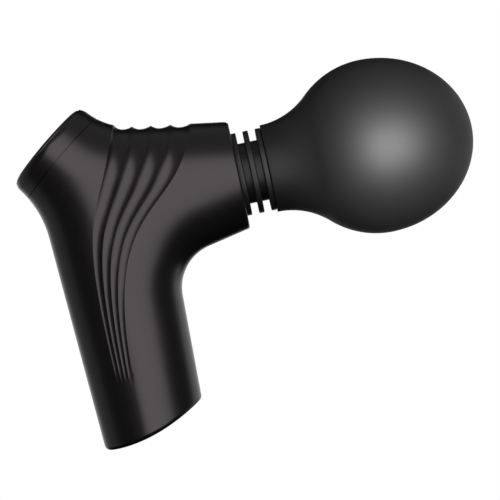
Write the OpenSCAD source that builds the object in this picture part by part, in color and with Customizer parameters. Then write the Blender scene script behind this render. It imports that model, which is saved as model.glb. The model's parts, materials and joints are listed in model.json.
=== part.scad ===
/* [Housing] */
// Height of the barrel axis above the middle of the grip
barrel_z = 62; // [58:0.5:66]
// Place of the flat nose along the barrel
nose_x = 54.6; // [52:0.2:58]
// Outer radius of the round nose
nose_r = 21.7; // [21:0.1:23]
// Width of the grip at its middle
grip_w = 44.2; // [42:0.2:46]
// Lean of the grip's back edge, in degrees
back_lean = 3; // [2:0.5:4]
// Lean of the grip's front edge, in degrees
front_lean = 1.5; // [1:0.5:2.5]
// Rise of the top edge from the nose rearwards, in degrees
top_rise = 9.2; // [8:0.2:10]
// Fall of the lower edge from the nose rearwards, in degrees
throat_fall = 11.5; // [10:0.5:13]
// Radius of the hollow above the barrel
top_r = 27; // [25:0.5:30]
// Place along the barrel where that hollow starts
top_bend_x = 16.5; // [15:0.5:18]
// Radius of the hollow behind the grip
back_r = 40; // [37:0.5:43]
// Height where that hollow starts
back_bend_z = 53; // [50:0.5:56]
// Radius of the throat between barrel and grip
throat_r = 18; // [16:0.5:20]
// Direction of the rear limb, in degrees from the barrel
rear_angle = 127.6; // [124:0.2:131]
// Reach of the rear limb from the barrel axis
rear_reach = 33; // [32:0.2:34]
// Reach of the seam between shells and rear cap
seam_reach = 24.4; // [23.5:0.1:25]
// Rounding of the rear cap's rim
rear_round = 3.6; // [3:0.2:4]
// Radius of the curved foot
foot_r = 88; // [84:1:92]
// Height of the foot's curve where it is level
foot_z = -34.8; // [-36:0.1:-34]
// Place along the barrel where the foot's curve is level
foot_x = -22.3; // [-24:0.1:-20]
// Rounding of the foot's rim
foot_round = 2.2; // [1.6:0.2:2.8]
// Rounding of the nose's rim
nose_round = 0.8; // [0.6:0.1:1.2]
// Wall thickness
wall = 2.4; // [2.2:0.1:2.6]
// Reach of the edge rounding, as a share of the nose radius
blend = 1.15; // [1.1:0.05:1.3]

/* [Flutes] */
// Number of scalloped channels
flute_count = 4; // [3:1:5]
// Depth of a channel as a share of its width
flute_depth = 0.18; // [0.12:0.01:0.18]
// Place of a flute's deepest line as a share of its width
flute_deep = 0.68; // [0.5:0.01:0.75]
// Power that crowds the flutes towards the rear on the top edge
flute_crowd = 1.05; // [1:0.05:1.2]
// Place of the first ridge on the top edge
first_ridge_x = 9.7; // [9:0.1:11]
// Place of the last ridge on the top edge
last_ridge_x = 39.8; // [39:0.1:42]
// Height where the channels have run out
flute_end_z = -10.5; // [-13:0.5:-9]

/* [Head] */
// Distance from the grip's middle to the middle of the ball
ball_x = 110; // [109:0.5:112]
// Radius of the ball's widest ring
ball_r = 35; // [33:0.5:37]
// Radius of the neck where it meets the fins
neck_r = 17.6; // [16.8:0.1:18]
// Radius of a fin
fin_r = 16.7; // [16:0.1:17]
// Thickness of a fin
fin_t = 2.2; // [1.8:0.1:2.4]
// Distance from fin to fin
fin_pitch = 5; // [4.8:0.1:5.2]
// Radius of the core between the fins
core_r = 12.2; // [12:0.1:13]
// Gap between the last fin and the ball's neck
neck_gap = 0.4; // [0.3:0.1:1]
// Radius of the plug that enters the piston
plug_r = 6.45; // [6.2:0.05:6.45]

/* [Drive] */
// Crank radius, half of the stroke
crank_r = 3.5; // [3:0.25:3.5]
// Distance between the connecting rod's two pivots
rod_length = 24; // [23.5:0.25:24.5]
// Radius of the crank pin and the wrist pin
pin_r = 2.5; // [2.2:0.1:2.5]
// Radius of the piston
piston_r = 9; // [9:0.1:9.2]
// Outer radius of the motor's bell
bell_r = 14; // [13.8:0.1:14.2]

/* [Battery] */
// Radius of a cell
cell_r = 7; // [6.8:0.05:7]
// Length of a cell
cell_l = 50; // [48:0.5:50]

/* [Controls] */
// Radius of the panel in the rear cap
panel_r = 13; // [12:0.2:13.5]
// Radius of the power button
button_r = 5.7; // [5:0.1:6]
// Travel of the power button
button_travel = 0.8; // [0.6:0.1:0.9]

/* [Hidden] */
$fn = 64;

// Small distances
eps = 0.01;
far = 200;
gap = 0.3;

// Plane geometry of the side view: points are [x, z]
function dir(a) = [cos(a), sin(a)];
function mix(a, b, t) = a + (b - a) * t;
hub = [0, barrel_z];
rear_mid = 2.5;
rear_r = 20.5;
front_foot_rise = 12;
straight_share = 0.16;
fade_h = 8;
flute_soft = 0.2;
ridge_pace = 1.4;
fan = 70;
rear_n = dir(rear_angle);
rear_t = [rear_n.y, -rear_n.x];

// Each concave stretch of the side view is a fillet between two straight edges. A fillet is given by its
// centre, its radius and the directions of the two edges' inward normals.
back_in = back_lean;
back_tangent = [-grip_w / 2 - back_bend_z * tan(back_lean), back_bend_z];
back_c = back_tangent - back_r * dir(back_in);
top_in = 270 - top_rise;
top_tangent = [top_bend_x, barrel_z + nose_r + (nose_x - top_bend_x) * tan(top_rise)];
top_c = top_tangent - top_r * dir(top_in);
throat_in = 90 + throat_fall;
grip_in = 180 - front_lean;
nose_foot = [nose_x, barrel_z - nose_r];
grip_front = [grip_w / 2, 0];
throat_turn = grip_in - throat_in;
throat_corner = line_cross(nose_foot, throat_in, grip_front, grip_in);
throat_c = throat_corner - throat_r / cos(throat_turn / 2) * dir((throat_in + grip_in) / 2);
function line_cross(p, a, q, b) = let (u = p * dir(a), v = q * dir(b), d = sin(b - a))
    [(u * sin(b) - v * sin(a)) / d, (v * cos(a) - u * cos(b)) / d];

// Distance of a point into the body from one fillet and its two edges
function into(p, c, r, low, high) = let (q = p - c, mid = (low + high) / 2,
        turn = (atan2(q.y, q.x) - mid + 900) % 360 - 180)
    (abs(turn) <= (high - low) / 2 ? norm(q) : q * dir(turn < 0 ? low : high)) - r;

// Square of the half thickness at a point, for a body that is drawn in by an inset. Between two parallel
// edges the section is close to a circle, and where three limbs meet they blend.
function swell(d, reach) = let (t = d / reach) t > 1 ? 1 : t * (2 - t);
function thick2(p, inset) = let (r = nose_r - inset, reach = blend * r)
    pow(r / swell(r, reach), 2) * swell(into(p, back_c, back_r + inset, back_in, back_in + fan), reach)
    * swell(into(p, top_c, top_r + inset, top_in - fan, top_in), reach)
    * swell(into(p, throat_c, throat_r + inset, throat_in, grip_in), reach);
function slope2(p, inset, d = 0.05) = [thick2(p + [d, 0], inset) - thick2(p - [d, 0], inset),
    thick2(p + [0, d], inset) - thick2(p - [0, d], inset)] / (2 * d);

// Edges of the side view
function back_x(z, inset) = z < back_c.y + (back_r + inset) * sin(back_lean)
    ? -grip_w / 2 - z * tan(back_lean) + inset / cos(back_lean)
    : back_c.x + sqrt(pow(back_r + inset, 2) - pow(z - back_c.y, 2));
function top_z(x, inset) = x > top_c.x + (top_r + inset) * cos(top_in)
    ? barrel_z + nose_r + (nose_x - x) * tan(top_rise) - inset / cos(top_rise)
    : top_c.y - sqrt(pow(top_r + inset, 2) - pow(x - top_c.x, 2));
function foot_at(x, inset) = foot_z + foot_r - sqrt(max(pow(foot_r - inset, 2) - pow(x - foot_x, 2), 0));
function rear_hit(c, r, reach, side) = let (q = hub + reach * rear_n - c, b = q * rear_t)
    hub + reach * rear_n + rear_t * (-b + side * sqrt(b * b - q * q + r * r));
function front_edge(t, inset, end_x) = let (r = throat_r + inset,
        low_x = grip_front.x - inset / cos(front_lean) + (foot_z + front_foot_rise) * tan(front_lean),
        start = [low_x, foot_at(low_x, inset)],
        a = throat_c + r * dir(grip_in), b = throat_c + r * dir(throat_in),
        e = [end_x, b.y + (end_x - b.x) * tan(throat_fall)],
        l1 = norm(a - start), l2 = r * throat_turn * PI / 180, l3 = norm(e - b), s = t * (l1 + l2 + l3))
    s < l1 ? mix(start, a, s / l1)
    : s < l1 + l2 ? throat_c + r * dir(grip_in - (s - l1) / l2 * throat_turn)
    : mix(b, e, (s - l1 - l2) / l3);

// Ridges of the flutes: a sweep from the top edge down the side, then a straight run to the foot
function bezier(p, t) = pow(1 - t, 3) * p[0] + 3 * pow(1 - t, 2) * t * p[1] + 3 * (1 - t) * t * t * p[2]
    + pow(t, 3) * p[3];
function ridge(end, side, t, inset) = let (foot = [side[0], foot_at(side[0], inset)],
        share = straight_share, p = [[side[0], flute_end_z], side[1], side[2], [end, top_z(end, inset)]])
    t < share ? mix(foot, p[0], t / share) : bezier(p, pow((t - share) / (1 - share), ridge_pace));
first_ridge = [-9.2, [-12, 66.5], [-2.3, 51.5]];
last_ridge = [-2.8, [-1.7, 67.5], [29.7, 47.5]];

// Depth across a flute, zero on its ridges: two slopes with a soft change at the deepest line
function hollow(f) = let (fall = f / flute_deep, climb = (1 - f) / (1 - flute_deep))
    -flute_soft * ln(exp(-fall / flute_soft) + exp(-climb / flute_soft));

// Grid over the side view: rows run from foot to top, columns from back to front. The columns of the left
// field end on the rear face and the top edge, those of the middle field are the flutes, and those of the
// right field end on the top edge and the nose.
function ease(t) = (1 - cos(180 * t)) / 2;
function patch(l, r, foot_u, top_u, foot, top) = let (n = len(l) - 1)
    [for (j = [0 : n]) let (v = ease(j / n)) [for (i = [0 : len(foot_u) - 1])
        let (u = mix(foot_u[i], top_u[i], v))
        mix(l[j], r[j], u) + mix(foot(u), top(u), v) - mix(mix(l[0], r[0], u), mix(l[n], r[n], u), v)]];
function side_grid(inset, reach, end_x, round_n, edge_n, flute_n, row_n) = let (
        steps = [for (j = [0 : row_n]) ease(j / row_n)],
        low_z = foot_at(back_x(foot_z, inset), inset),
        rear_low = rear_hit(back_c, back_r + inset, reach, 1),
        rear_top = rear_hit(top_c, top_r + inset, reach, -1),
        back = [for (t = steps) let (z = mix(low_z, rear_low.y, t)) [back_x(z, inset), z]],
        one = [for (t = steps) ridge(first_ridge_x, first_ridge, t, inset)],
        five = [for (t = steps) ridge(last_ridge_x, last_ridge, t, inset)],
        front = [for (t = steps) front_edge(t, inset, end_x)],
        nose_top = [end_x, top_z(end_x, inset)],
        side_n = round_n + edge_n,
        sides = [for (i = [0 : side_n]) i / side_n],
        flutes = [for (i = [0 : flute_n]) i / flute_n],
        foot_run = function (a, b) function (u) let (x = mix(a.x, b.x, u)) [x, foot_at(x, inset)],
        top_run = function (a, b, u) let (x = mix(a, b, u)) [x, top_z(x, inset)],
        rear_w = norm(rear_top - rear_low),
        rear_share = rear_w / (rear_w + norm(one[row_n] - rear_top)),
        nose_w = norm(front[row_n] - nose_top),
        nose_share = nose_w / (nose_w + norm(nose_top - five[row_n])),
        rear_u = [for (i = [0 : side_n]) i <= round_n ? rear_share * ease(i / round_n)
            : mix(rear_share, 1, (i - round_n) / edge_n)],
        nose_u = [for (i = [0 : side_n]) i <= edge_n ? (1 - nose_share) * i / edge_n
            : mix(1 - nose_share, 1, ease((i - edge_n) / round_n))],
        rear_edge = function (u) u < rear_share ? mix(rear_low, rear_top, u / rear_share)
            : top_run(rear_top.x, first_ridge_x, (u - rear_share) / (1 - rear_share)),
        nose_edge = function (u) u < 1 - nose_share ? top_run(last_ridge_x, end_x, u / (1 - nose_share))
            : mix(nose_top, front[row_n], (u - 1 + nose_share) / nose_share),
        a = patch(back, one, [for (u = sides) 1 - cos(90 * u)], rear_u, foot_run(back[0], one[0]), rear_edge),
        b = patch(one, five, flutes, [for (u = flutes) pow(u, flute_crowd)], foot_run(one[0], five[0]),
            function (u) top_run(first_ridge_x, last_ridge_x, u)),
        c = patch(five, front, [for (u = sides) sin(90 * u)], nose_u, foot_run(five[0], front[0]), nose_edge))
    [for (j = [0 : row_n]) concat(a[j], [for (i = [1 : flute_n]) b[j][i]],
        [for (i = [1 : side_n]) c[j][i]])];

// Rounded ends: close to an end, a point is drawn towards that end's axis
function draw_in(d, round_r, end_r) = d >= round_r ? 1
    : 1 - round_r / end_r * (1 - sqrt(1 - pow(1 - max(d, 0) / round_r, 2)));
function round_ends(p) = let (
        kf = draw_in(p.z - foot_at(p.x, 0), foot_round, grip_w / 2),
        kn = draw_in(nose_x - p.x, nose_round, nose_r),
        q = [p.x, p.z] - hub, n = q * rear_n, s = q * rear_t,
        kr = draw_in(rear_reach - n, rear_round, rear_r),
        sr = rear_mid + (s - rear_mid) * kr,
        x = hub.x + n * rear_n.x + sr * rear_t.x,
        z = hub.y + n * rear_n.y + sr * rear_t.y)
    [x * kf, p.y * kf * kn * kr, barrel_z + (z - barrel_z) * kn];

// Solid of the whole body, drawn in by an inset. Both sides mirror each other across the parting plane.
module body(inset, reach, end_x, round_n, edge_n, per_flute, row_n, detail) {
    flute_n = flute_count * per_flute;
    grid = side_grid(inset, reach, end_x, round_n, edge_n, flute_n, row_n);
    col_n = len(grid[0]) - 1;
    start = round_n + edge_n;
    rear_last = round_n;
    nose_first = start + flute_n + edge_n;
    near = [for (j = [0 : row_n]) for (i = [0 : col_n]) let (p = grid[j][i],
            edge = i == 0 || i == col_n || (j == row_n && i >= rear_last && i <= nose_first),
            y = edge ? 0 : -sqrt(max(thick2(p, inset), 0)),
            slope = slope2(p, inset),
            normal = [-slope.x / 2, y, -slope.y / 2],
            width = norm(grid[j][start + flute_n] - grid[j][start]) / flute_count,
            f = ((i - start) / per_flute) % 1,
            fade = min(max((p.y - flute_end_z) / fade_h, 0), 1),
            inside = detail && i > start && i < start + flute_n,
            depth = inside && f > 0 ? flute_depth * width * hollow(f) * fade : 0,
            v = [p.x, y, p.y] - depth * normal / max(norm(normal), eps))
        detail ? round_ends([v.x, edge ? 0 : v.y, v.z]) : v];
    count = len(near);
    points = concat(near, [for (p = near) [p.x, -p.y, p.z]]);
    function at(i, j) = j * (col_n + 1) + i;
    function over(i, j) = let (k = at(i, j)) abs(near[k].y) < eps / 10 ? k : k + count;
    skin = [for (j = [0 : row_n - 1]) for (i = [0 : col_n - 1]) each [
        [at(i, j), at(i, j + 1), at(i + 1, j + 1)], [at(i, j), at(i + 1, j + 1), at(i + 1, j)],
        [over(i, j), over(i + 1, j + 1), over(i, j + 1)], [over(i, j), over(i + 1, j), over(i + 1, j + 1)]]];
    foot = [for (i = [0 : col_n - 1]) each [
        [at(i, 0), at(i + 1, 0), over(i + 1, 0)], [at(i, 0), over(i + 1, 0), over(i, 0)]]];
    ends = [for (i = [0 : col_n - 1]) if (i < rear_last || i >= nose_first) each [
        [at(i, row_n), over(i + 1, row_n), at(i + 1, row_n)],
        [at(i, row_n), over(i, row_n), over(i + 1, row_n)]]];
    faces = [for (f = concat(skin, foot, ends)) if (f[0] != f[1] && f[1] != f[2] && f[0] != f[2]) f];
    polyhedron(points, faces);
}
module outer_body() body(0, rear_reach, nose_x, 9, 3, 4, 30, true);
cap_t = 2.6;
nose_t = 3;
module plain_body(inset, reach, end_x) body(inset, reach, end_x, 6, 2, 1, 16, false);
module inner_body() plain_body(wall, rear_reach - cap_t, nose_x - nose_t);
module rib_bounds() plain_body(wall / 2, rear_reach - 1, nose_x - 1);

// Frames of the sub-assemblies
module along_barrel(x = 0) translate([x, 0, barrel_z]) rotate([0, 90, 0]) children();
module along_rear(reach) translate([hub.x + rear_mid * rear_t.x, 0, hub.y + rear_mid * rear_t.y])
    rotate([0, 90 - rear_angle, 0]) translate([0, 0, reach]) children();
module revolve_stem() translate([0, 0, barrel_z]) rotate([0, 90, 0]) rotate_extrude() children();
module ring(inner, outer, height) difference() {
    cylinder(r = outer, h = height);
    translate([0, 0, -1]) cylinder(r = inner, h = height + 2);
}

// Housing
nose_hole_r = fin_r + 0.6;
boss_r = 2.2;
well_r = 2.1;
well_wall = 0.8;
screw_r = 1;
head_r = 1.9;
head_seat_y = 6;
bosses = [[-13, -27.5], [-16.8, 3], [16.6, 3], [42.5, 79.4], [42.5, 44.6], [-21.5, 60], [10, 85.5]];
boss_l = 24;
gusset_y = 14;
pad_spots = [[-5, 16.2], [5, 16.2]];
pad_r = 1.8;
rib_y = 26;
rib_h = 3;
frame_z = 49.5;
frame_t = 2.8;
pad_h = 3;
damper_x = 46.2;
damper_r = 15.5;
damper_t = 3;
usb_x = -3;
usb_w = 9.2;
usb_t = 3.4;
usb_gap = 0.2;
seam_gap = 0.4;
seam_depth = 0.8;

module seam_side(reach, outward) along_rear(reach)
    translate([-far / 2, -far / 2, outward ? 0 : -far]) cube(far);
module side_half(side) translate([-far, side > 0 ? 0 : -far, -far]) cube([2 * far, far, 2 * far]);
module slot_hole(w, t, h) hull() for (s = [-1, 1]) translate([0, s * (w - t) / 2, 0]) cylinder(d = t, h = h);
module boss_rib(p, side) hull() {
    translate([p.x, 0, p.y]) rotate([-90 * side, 0, 0])
        cylinder(r = side > 0 ? well_r + well_wall : boss_r, h = boss_l, $fn = 16);
    translate([p.x, side * gusset_y, p.y]) cube([1, 1, boss_r * 3.4], center = true);
}
// Ledges that clamp the battery holder between its underside and its top
module holder_ledges(side) for (p = side > 0 ? [[0, 12.5]] : [[-7.2, 9.5], [7.2, 9.5]])
    for (z = [cell_z - holder_t - rib_h, cell_z + cell_l]) hull() for (y = [p.y, rib_y])
        translate([p.x - 1, side * y - 0.5, z]) cube([2, 1, min(rib_h, 2)]);
module shell_ribs(side) {
    for (p = bosses) boss_rib(p, side);
    for (p = pad_spots) hull() for (y = [p.y, rib_y]) translate([p.x, side * y, frame_z - pad_h - rib_h])
        cylinder(r = pad_r + 0.6, h = rib_h, $fn = 12);
    for (a = [60, 120]) hull() for (d = [damper_r, rib_y]) along_barrel(damper_x + 0.5)
        rotate([0, 0, side * a]) translate([-2, d, 0]) cube([4, 1, damper_t - 1]);
    holder_ledges(side);
}
module shell(side) {
    difference() {
        union() {
            difference() {
                outer_body();
                inner_body();
            }
            intersection() {
                shell_ribs(side);
                rib_bounds();
            }
        }
        side_half(-side);
        seam_side(seam_reach, true);
        along_barrel(nose_x - nose_t - 1) cylinder(r = nose_hole_r, h = nose_t + 2);
        translate([usb_x, 0, foot_z - 5]) slot_hole(usb_w + 2 * usb_gap, usb_t + 2 * usb_gap, 13);
        for (p = bosses) translate([p.x, 0, p.y]) rotate([90, 0, 0]) {
            translate([0, 0, -head_seat_y - 2]) cylinder(r = screw_r + 0.15, h = 16, $fn = 16);
            translate([0, 0, -head_seat_y - 40]) cylinder(r = well_r, h = 40, $fn = 16);
        }
    }
}
module right_shell() color("#1b1a1a") shell(-1);
module left_shell() color("#1b1a1a") shell(1);
module housing_screws() color("#8a8c90") for (p = bosses) translate([p.x, 0, p.y]) rotate([90, 0, 0]) {
    translate([0, 0, -head_seat_y]) cylinder(r = screw_r, h = head_seat_y + 7);
    difference() {
        translate([0, 0, -head_seat_y - 1.8]) cylinder(r = head_r, h = 1.8);
        translate([0, 0, -head_seat_y - 2]) for (a = [0, 90]) rotate([0, 0, a])
            translate([-1.2, -0.25, 0]) cube([2.4, 0.5, 1.2]);
    }
}

// Rear cap with its controls, along the rear limb
panel_t = 1.6;
panel_seat = rear_reach - panel_t;
board_t = 1.6;
board_r = 14.5;
board_reach = 22;
driver_reach = 13.5;
light_count = 5;
light_r = 0.9;
light_ring_r = 9.6;
button_skirt_r = 7;
module light_spots() for (i = [0 : light_count - 1])
    rotate([0, 0, 180 + (i - (light_count - 1) / 2) * 22]) translate([light_ring_r, 0, 0]) children();
cap_floor = rear_reach - cap_t;
clip_r = 16.4;
module cap_block(low, high, inner, outer) hull() for (z = [low, high - 0.5]) translate([inner, -2.5, z])
    cube([outer - inner, 5, 0.5]);
module cap_insides() along_rear(0) for (a = [45 : 90 : 315]) rotate([0, 0, a]) {
    cap_block(seam_reach - 3, seam_reach + 3, clip_r, clip_r + 1);
    cap_block(seam_reach + seam_gap, seam_reach + 3, clip_r, rear_r + 0.5);
    hull() for (z = [board_reach + board_t, cap_floor - 0.5]) translate([13, 0, z])
        cylinder(r = 1.4, h = 0.7, $fn = 16);
}
module seam_groove() difference() {
    intersection() {
        seam_side(seam_reach - 1, true);
        seam_side(seam_reach + seam_gap, false);
    }
    plain_body(seam_depth, rear_reach - 1, nose_x - 1);
}
module rear_cap() color("#1b1a1a") difference() {
    union() {
        difference() {
            intersection() {
                outer_body();
                seam_side(seam_reach, true);
            }
            inner_body();
        }
        intersection() {
            cap_insides();
            rib_bounds();
        }
    }
    seam_groove();
    along_rear(panel_seat) cylinder(r = panel_r + 0.02, h = 8);
    along_rear(seam_reach) cylinder(r = button_skirt_r + 1, h = 20, $fn = 48);
    along_rear(panel_seat - 3) light_spots() cylinder(r = light_r + 0.2, h = 6, $fn = 16);
}
module control_panel() color("#0a0a0b") along_rear(panel_seat) difference() {
    cylinder(r = panel_r, h = panel_t);
    translate([0, 0, -1]) cylinder(r = button_r + gap, h = panel_t + 2);
    light_spots() translate([0, 0, -1]) cylinder(r = light_r, h = panel_t + 2);
}
module indicator_lights() color("#e8eef2") along_rear(panel_seat - 2.2) light_spots()
    cylinder(r = light_r, h = panel_t + 2.2);
switch_h = 3.6;
skirt_reach = panel_seat - gap - 1;
button_foot = board_reach + board_t + switch_h + button_travel + gap;
module power_button() color("#2a2a2c") along_rear(0) {
    translate([0, 0, skirt_reach]) cylinder(r = button_skirt_r, h = 1);
    translate([0, 0, skirt_reach + 0.5]) cylinder(r = button_r, h = panel_t + gap + 0.4);
    translate([0, 0, button_foot]) cylinder(r = 2, h = skirt_reach + 0.5 - button_foot);
}
module control_board() color("#1f5a3c") {
    along_rear(board_reach) cylinder(r = board_r, h = board_t);
    along_rear(board_reach + board_t) light_spots() translate([-0.8, -0.8, 0]) cube([1.6, 1.6, 0.8]);
}
module tact_switch() color("#3c3c3e") along_rear(board_reach + board_t) {
    translate([-3, -3, 0]) cube([6, 6, 3]);
    cylinder(r = 1.7, h = switch_h);
}
pillar_ring_r = 11.5;
module board_pillars() color("#c9a545") for (a = [45 : 90 : 315]) along_rear(driver_reach + board_t)
    rotate([0, 0, a]) translate([pillar_ring_r, 0, 0])
    cylinder(r = 1.6, h = board_reach - driver_reach - board_t);
module driver_board() color("#1f5a3c") along_rear(driver_reach) cylinder(r = 14, h = board_t);
module driver_parts() color("#17181a") along_rear(driver_reach + board_t) {
    for (x = [-1, 0, 1]) for (y = [0, 1]) translate([x * 4.6 - 1.8, y * 6.5 - 7, 0]) cube([3.6, 5, 1.2]);
    translate([-3, 6.5, 0]) cube([6, 4, 2.4]);
    translate([9.5, 0, 0]) cylinder(r = 2.4, h = 4.5);
    translate([-9.8, 0, 0]) cylinder(r = 2.4, h = 4.5);
}

// Drive frame with the barrel that guides the piston
upright_x = 28;
upright_t = 3;
flange_r = 17.4;
plate_r = 16;
bed_w = 28;
web_t = 2.4;
web_l = 9;
web_h = 13;
lug_r = 2.2;
bore_r = 11.5;
tube_out_r = 13.5;
flange_t = 3;
motor_screw_pcr = 9;
barrel_screw_pcr = 15.55;
small_screw_r = 1.25;
module drive_frame() color("#a9adb2") difference() {
    union() {
        translate([0, 0, frame_z]) cylinder(r = plate_r, h = frame_t);
        translate([0, -bed_w / 2, frame_z]) cube([upright_x + upright_t, bed_w, frame_t]);
        along_barrel(upright_x) cylinder(r = flange_r, h = upright_t);
        for (y = [-bed_w / 2, bed_w / 2 - web_t]) translate([upright_x - web_l, y + web_t, frame_z])
            rotate([90, 0, 0]) linear_extrude(web_t)
            polygon([[0, frame_t], [web_l, frame_t], [web_l, web_h]]);
        for (s = [-1, 1]) for (p = pad_spots) translate([p.x, s * p.y, frame_z])
            cylinder(r = lug_r, h = frame_t);
    }
    along_barrel(upright_x - 1) cylinder(r = bore_r, h = upright_t + 2);
    translate([0, 0, frame_z - 1]) cylinder(r = 5.6, h = frame_t + 2);
    for (a = [45 : 90 : 315]) rotate([0, 0, a]) translate([motor_screw_pcr, 0, frame_z - 1]) {
        cylinder(r = 1.5, h = frame_t + 2);
        translate([0, 0, frame_t - 0.6]) cylinder(r = 2.6, h = 3);
    }
    for (a = [45 : 90 : 315]) along_barrel(upright_x - 1) rotate([0, 0, a])
        translate([barrel_screw_pcr, 0, 0]) cylinder(r = small_screw_r, h = upright_t + 2);
}
module frame_pads() color("#2f2f31") for (s = [-1, 1]) for (p = pad_spots)
    translate([p.x, s * p.y, frame_z - pad_h]) cylinder(r = pad_r, h = pad_h);
barrel_x = upright_x + upright_t;
barrel_end_x = 50;
bush_r = 11;
module guide_barrel() color("#c4c8cc") difference() {
    union() {
        along_barrel(barrel_x) cylinder(r = flange_r, h = flange_t);
        along_barrel(barrel_x) cylinder(r = tube_out_r, h = barrel_end_x - barrel_x);
    }
    along_barrel(barrel_x - 1) cylinder(r = bush_r, h = barrel_end_x - barrel_x + 2);
    along_barrel(barrel_x - 1) cylinder(r = bore_r, h = flange_t + 1);
    for (a = [45 : 90 : 315]) along_barrel(barrel_x - 1) rotate([0, 0, a])
        translate([barrel_screw_pcr, 0, 0]) cylinder(r = small_screw_r, h = flange_t + 2);
}
module barrel_screws() color("#8a8c90") for (a = [45 : 90 : 315]) along_barrel(0) rotate([0, 0, a])
    translate([barrel_screw_pcr, 0, 0]) {
        translate([0, 0, upright_x]) cylinder(r = small_screw_r, h = upright_t + flange_t);
        translate([0, 0, barrel_x + flange_t]) cylinder(r = 1.8, h = 1.6);
    }
bush_l = 15;
module guide_bush() color("#b08d4a") along_barrel(barrel_x + flange_t)
    ring(piston_r + 0.04, bush_r, bush_l);
module wiper_seal() color("#2f2f31") along_barrel(barrel_x + flange_t + bush_l) {
    ring(piston_r + gap, bush_r, 1);
    translate([0, 0, 1]) ring(piston_r + gap, tube_out_r, 1.2);
}
module barrel_damper() color("#2f2f31") along_barrel(damper_x)
    ring(tube_out_r, damper_r, damper_t);

// Motor, an outrunner that hangs under the frame
motor_top = frame_z;
base_t = 2.5;
stator_h = 9;
stator_z = 36.5;
stator_r = 11.8;
bell_wall = 0.8;
air_gap = 0.4;
slot_count = 12;
tooth_t = 2.2;
tube_r = 4.6;
bell_z = 32;
bell_h = 14.6;
magnet_count = 14;
module motor_base() color("#9fa3a8") difference() {
    union() {
        translate([0, 0, motor_top - base_t]) cylinder(r = bell_r, h = base_t);
        translate([0, 0, stator_z - 1]) cylinder(r = tube_r, h = motor_top - base_t - stator_z + 1.1);
    }
    translate([0, 0, stator_z - 2]) cylinder(r = 4, h = 20);
    for (a = [45 : 90 : 315]) rotate([0, 0, a]) translate([motor_screw_pcr, 0, motor_top - base_t - 1])
        cylinder(r = small_screw_r, h = base_t + 2);
}
module motor_screws() color("#8a8c90") for (a = [45 : 90 : 315]) rotate([0, 0, a])
    translate([motor_screw_pcr, 0, 0]) {
        translate([0, 0, motor_top - base_t]) cylinder(r = small_screw_r, h = base_t + frame_t - 1.6);
        translate([0, 0, frame_z + frame_t - 1.6]) cylinder(r = 2.3, h = 1.5);
    }
module motor_bearings() color("#c4c8cc") for (z = [stator_z - 1, motor_top - 3]) translate([0, 0, z])
    ring(pin_r + 0.03, 4, 3);
module stator_tooth(a) rotate([0, 0, a]) {
    translate([tube_r, -tooth_t / 2, 0]) cube([stator_r - tube_r - 1, tooth_t, stator_h]);
    intersection() {
        ring(stator_r - 1.2, stator_r, stator_h);
        translate([stator_r - 3, -2.7, -1]) cube([6, 5.4, stator_h + 2]);
    }
}
module motor_stator() color("#6d7076") translate([0, 0, stator_z]) {
    ring(tube_r, tube_r + 1.8, stator_h);
    for (i = [0 : slot_count - 1]) stator_tooth(i * 360 / slot_count);
}
module motor_windings() color("#b8702f") for (i = [0 : slot_count - 1]) rotate([0, 0, i * 360 / slot_count])
    difference() {
        translate([7.2, -1.7, stator_z - 0.8]) cube([3.2, 3.4, stator_h + 1.6]);
        translate([7, -tooth_t / 2, stator_z]) cube([5, tooth_t, stator_h]);
    }
module motor_bell() color("#3a3c40") difference() {
    union() {
        translate([0, 0, bell_z]) cylinder(r = bell_r, h = bell_h);
        translate([0, 0, bell_z - 1.5]) cylinder(r = 5, h = 2);
    }
    translate([0, 0, bell_z + 1.6]) cylinder(r = bell_r - bell_wall, h = bell_h);
    translate([0, 0, bell_z - 5]) cylinder(r = pin_r, h = 20);
    for (i = [0 : 5]) rotate([0, 0, i * 60]) translate([9.5, 0, bell_z - 1]) cylinder(r = 2.4, h = 4);
}
module motor_magnets() color("#55585e") for (i = [0 : magnet_count - 1])
    rotate([0, 0, i * 360 / magnet_count]) translate([0, 0, stator_z - 0.5]) intersection() {
        ring(stator_r + air_gap, bell_r - bell_wall, stator_h + 1);
        translate([stator_r - 2, -2.7, -1]) cube([6, 5.4, stator_h + 4]);
    }
module motor_shaft() color("#c4c8cc") translate([0, 0, bell_z - 1.5])
    cylinder(r = pin_r, h = eccentric_z + shaft_seat - bell_z + 1.5);

// Crank drive, drawn with the piston at the rear end of its stroke
eccentric_z = 53.6;
eccentric_t = 4.4;
eccentric_r = 10.4;
eccentric_hub_r = 7.4;
shaft_seat = 2.6;
rod_t = 5;
rod_z = barrel_z - rod_t / 2;
big_r = 7.6;
bearing_r = 5.5;
wrist_x = rod_length - crank_r;
piston_rear = wrist_x - 6;
piston_front = nose_x - 0.5;
socket_r = 6.5;
socket_depth = 20.6;
clevis_end = wrist_x + 8;
module eccentric() color("#8f9398") difference() {
    union() {
        translate([0, 0, eccentric_z]) cylinder(r = eccentric_hub_r, h = eccentric_t);
        translate([0, 0, eccentric_z]) intersection() {
            cylinder(r = eccentric_r, h = eccentric_t);
            translate([-1, -20, -1]) cube([40, 40, 10]);
        }
    }
    translate([0, 0, eccentric_z - 1]) cylinder(r = pin_r, h = shaft_seat + 1);
    translate([-crank_r, 0, eccentric_z + shaft_seat]) cylinder(r = pin_r, h = eccentric_t);
}
module crank_pin() color("#c4c8cc") translate([-crank_r, 0, eccentric_z + shaft_seat])
    cylinder(r = pin_r, h = rod_z + rod_t - eccentric_z - shaft_seat);
module crank_bearing() color("#c4c8cc") translate([-crank_r, 0, rod_z]) ring(pin_r, bearing_r, rod_t);
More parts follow.
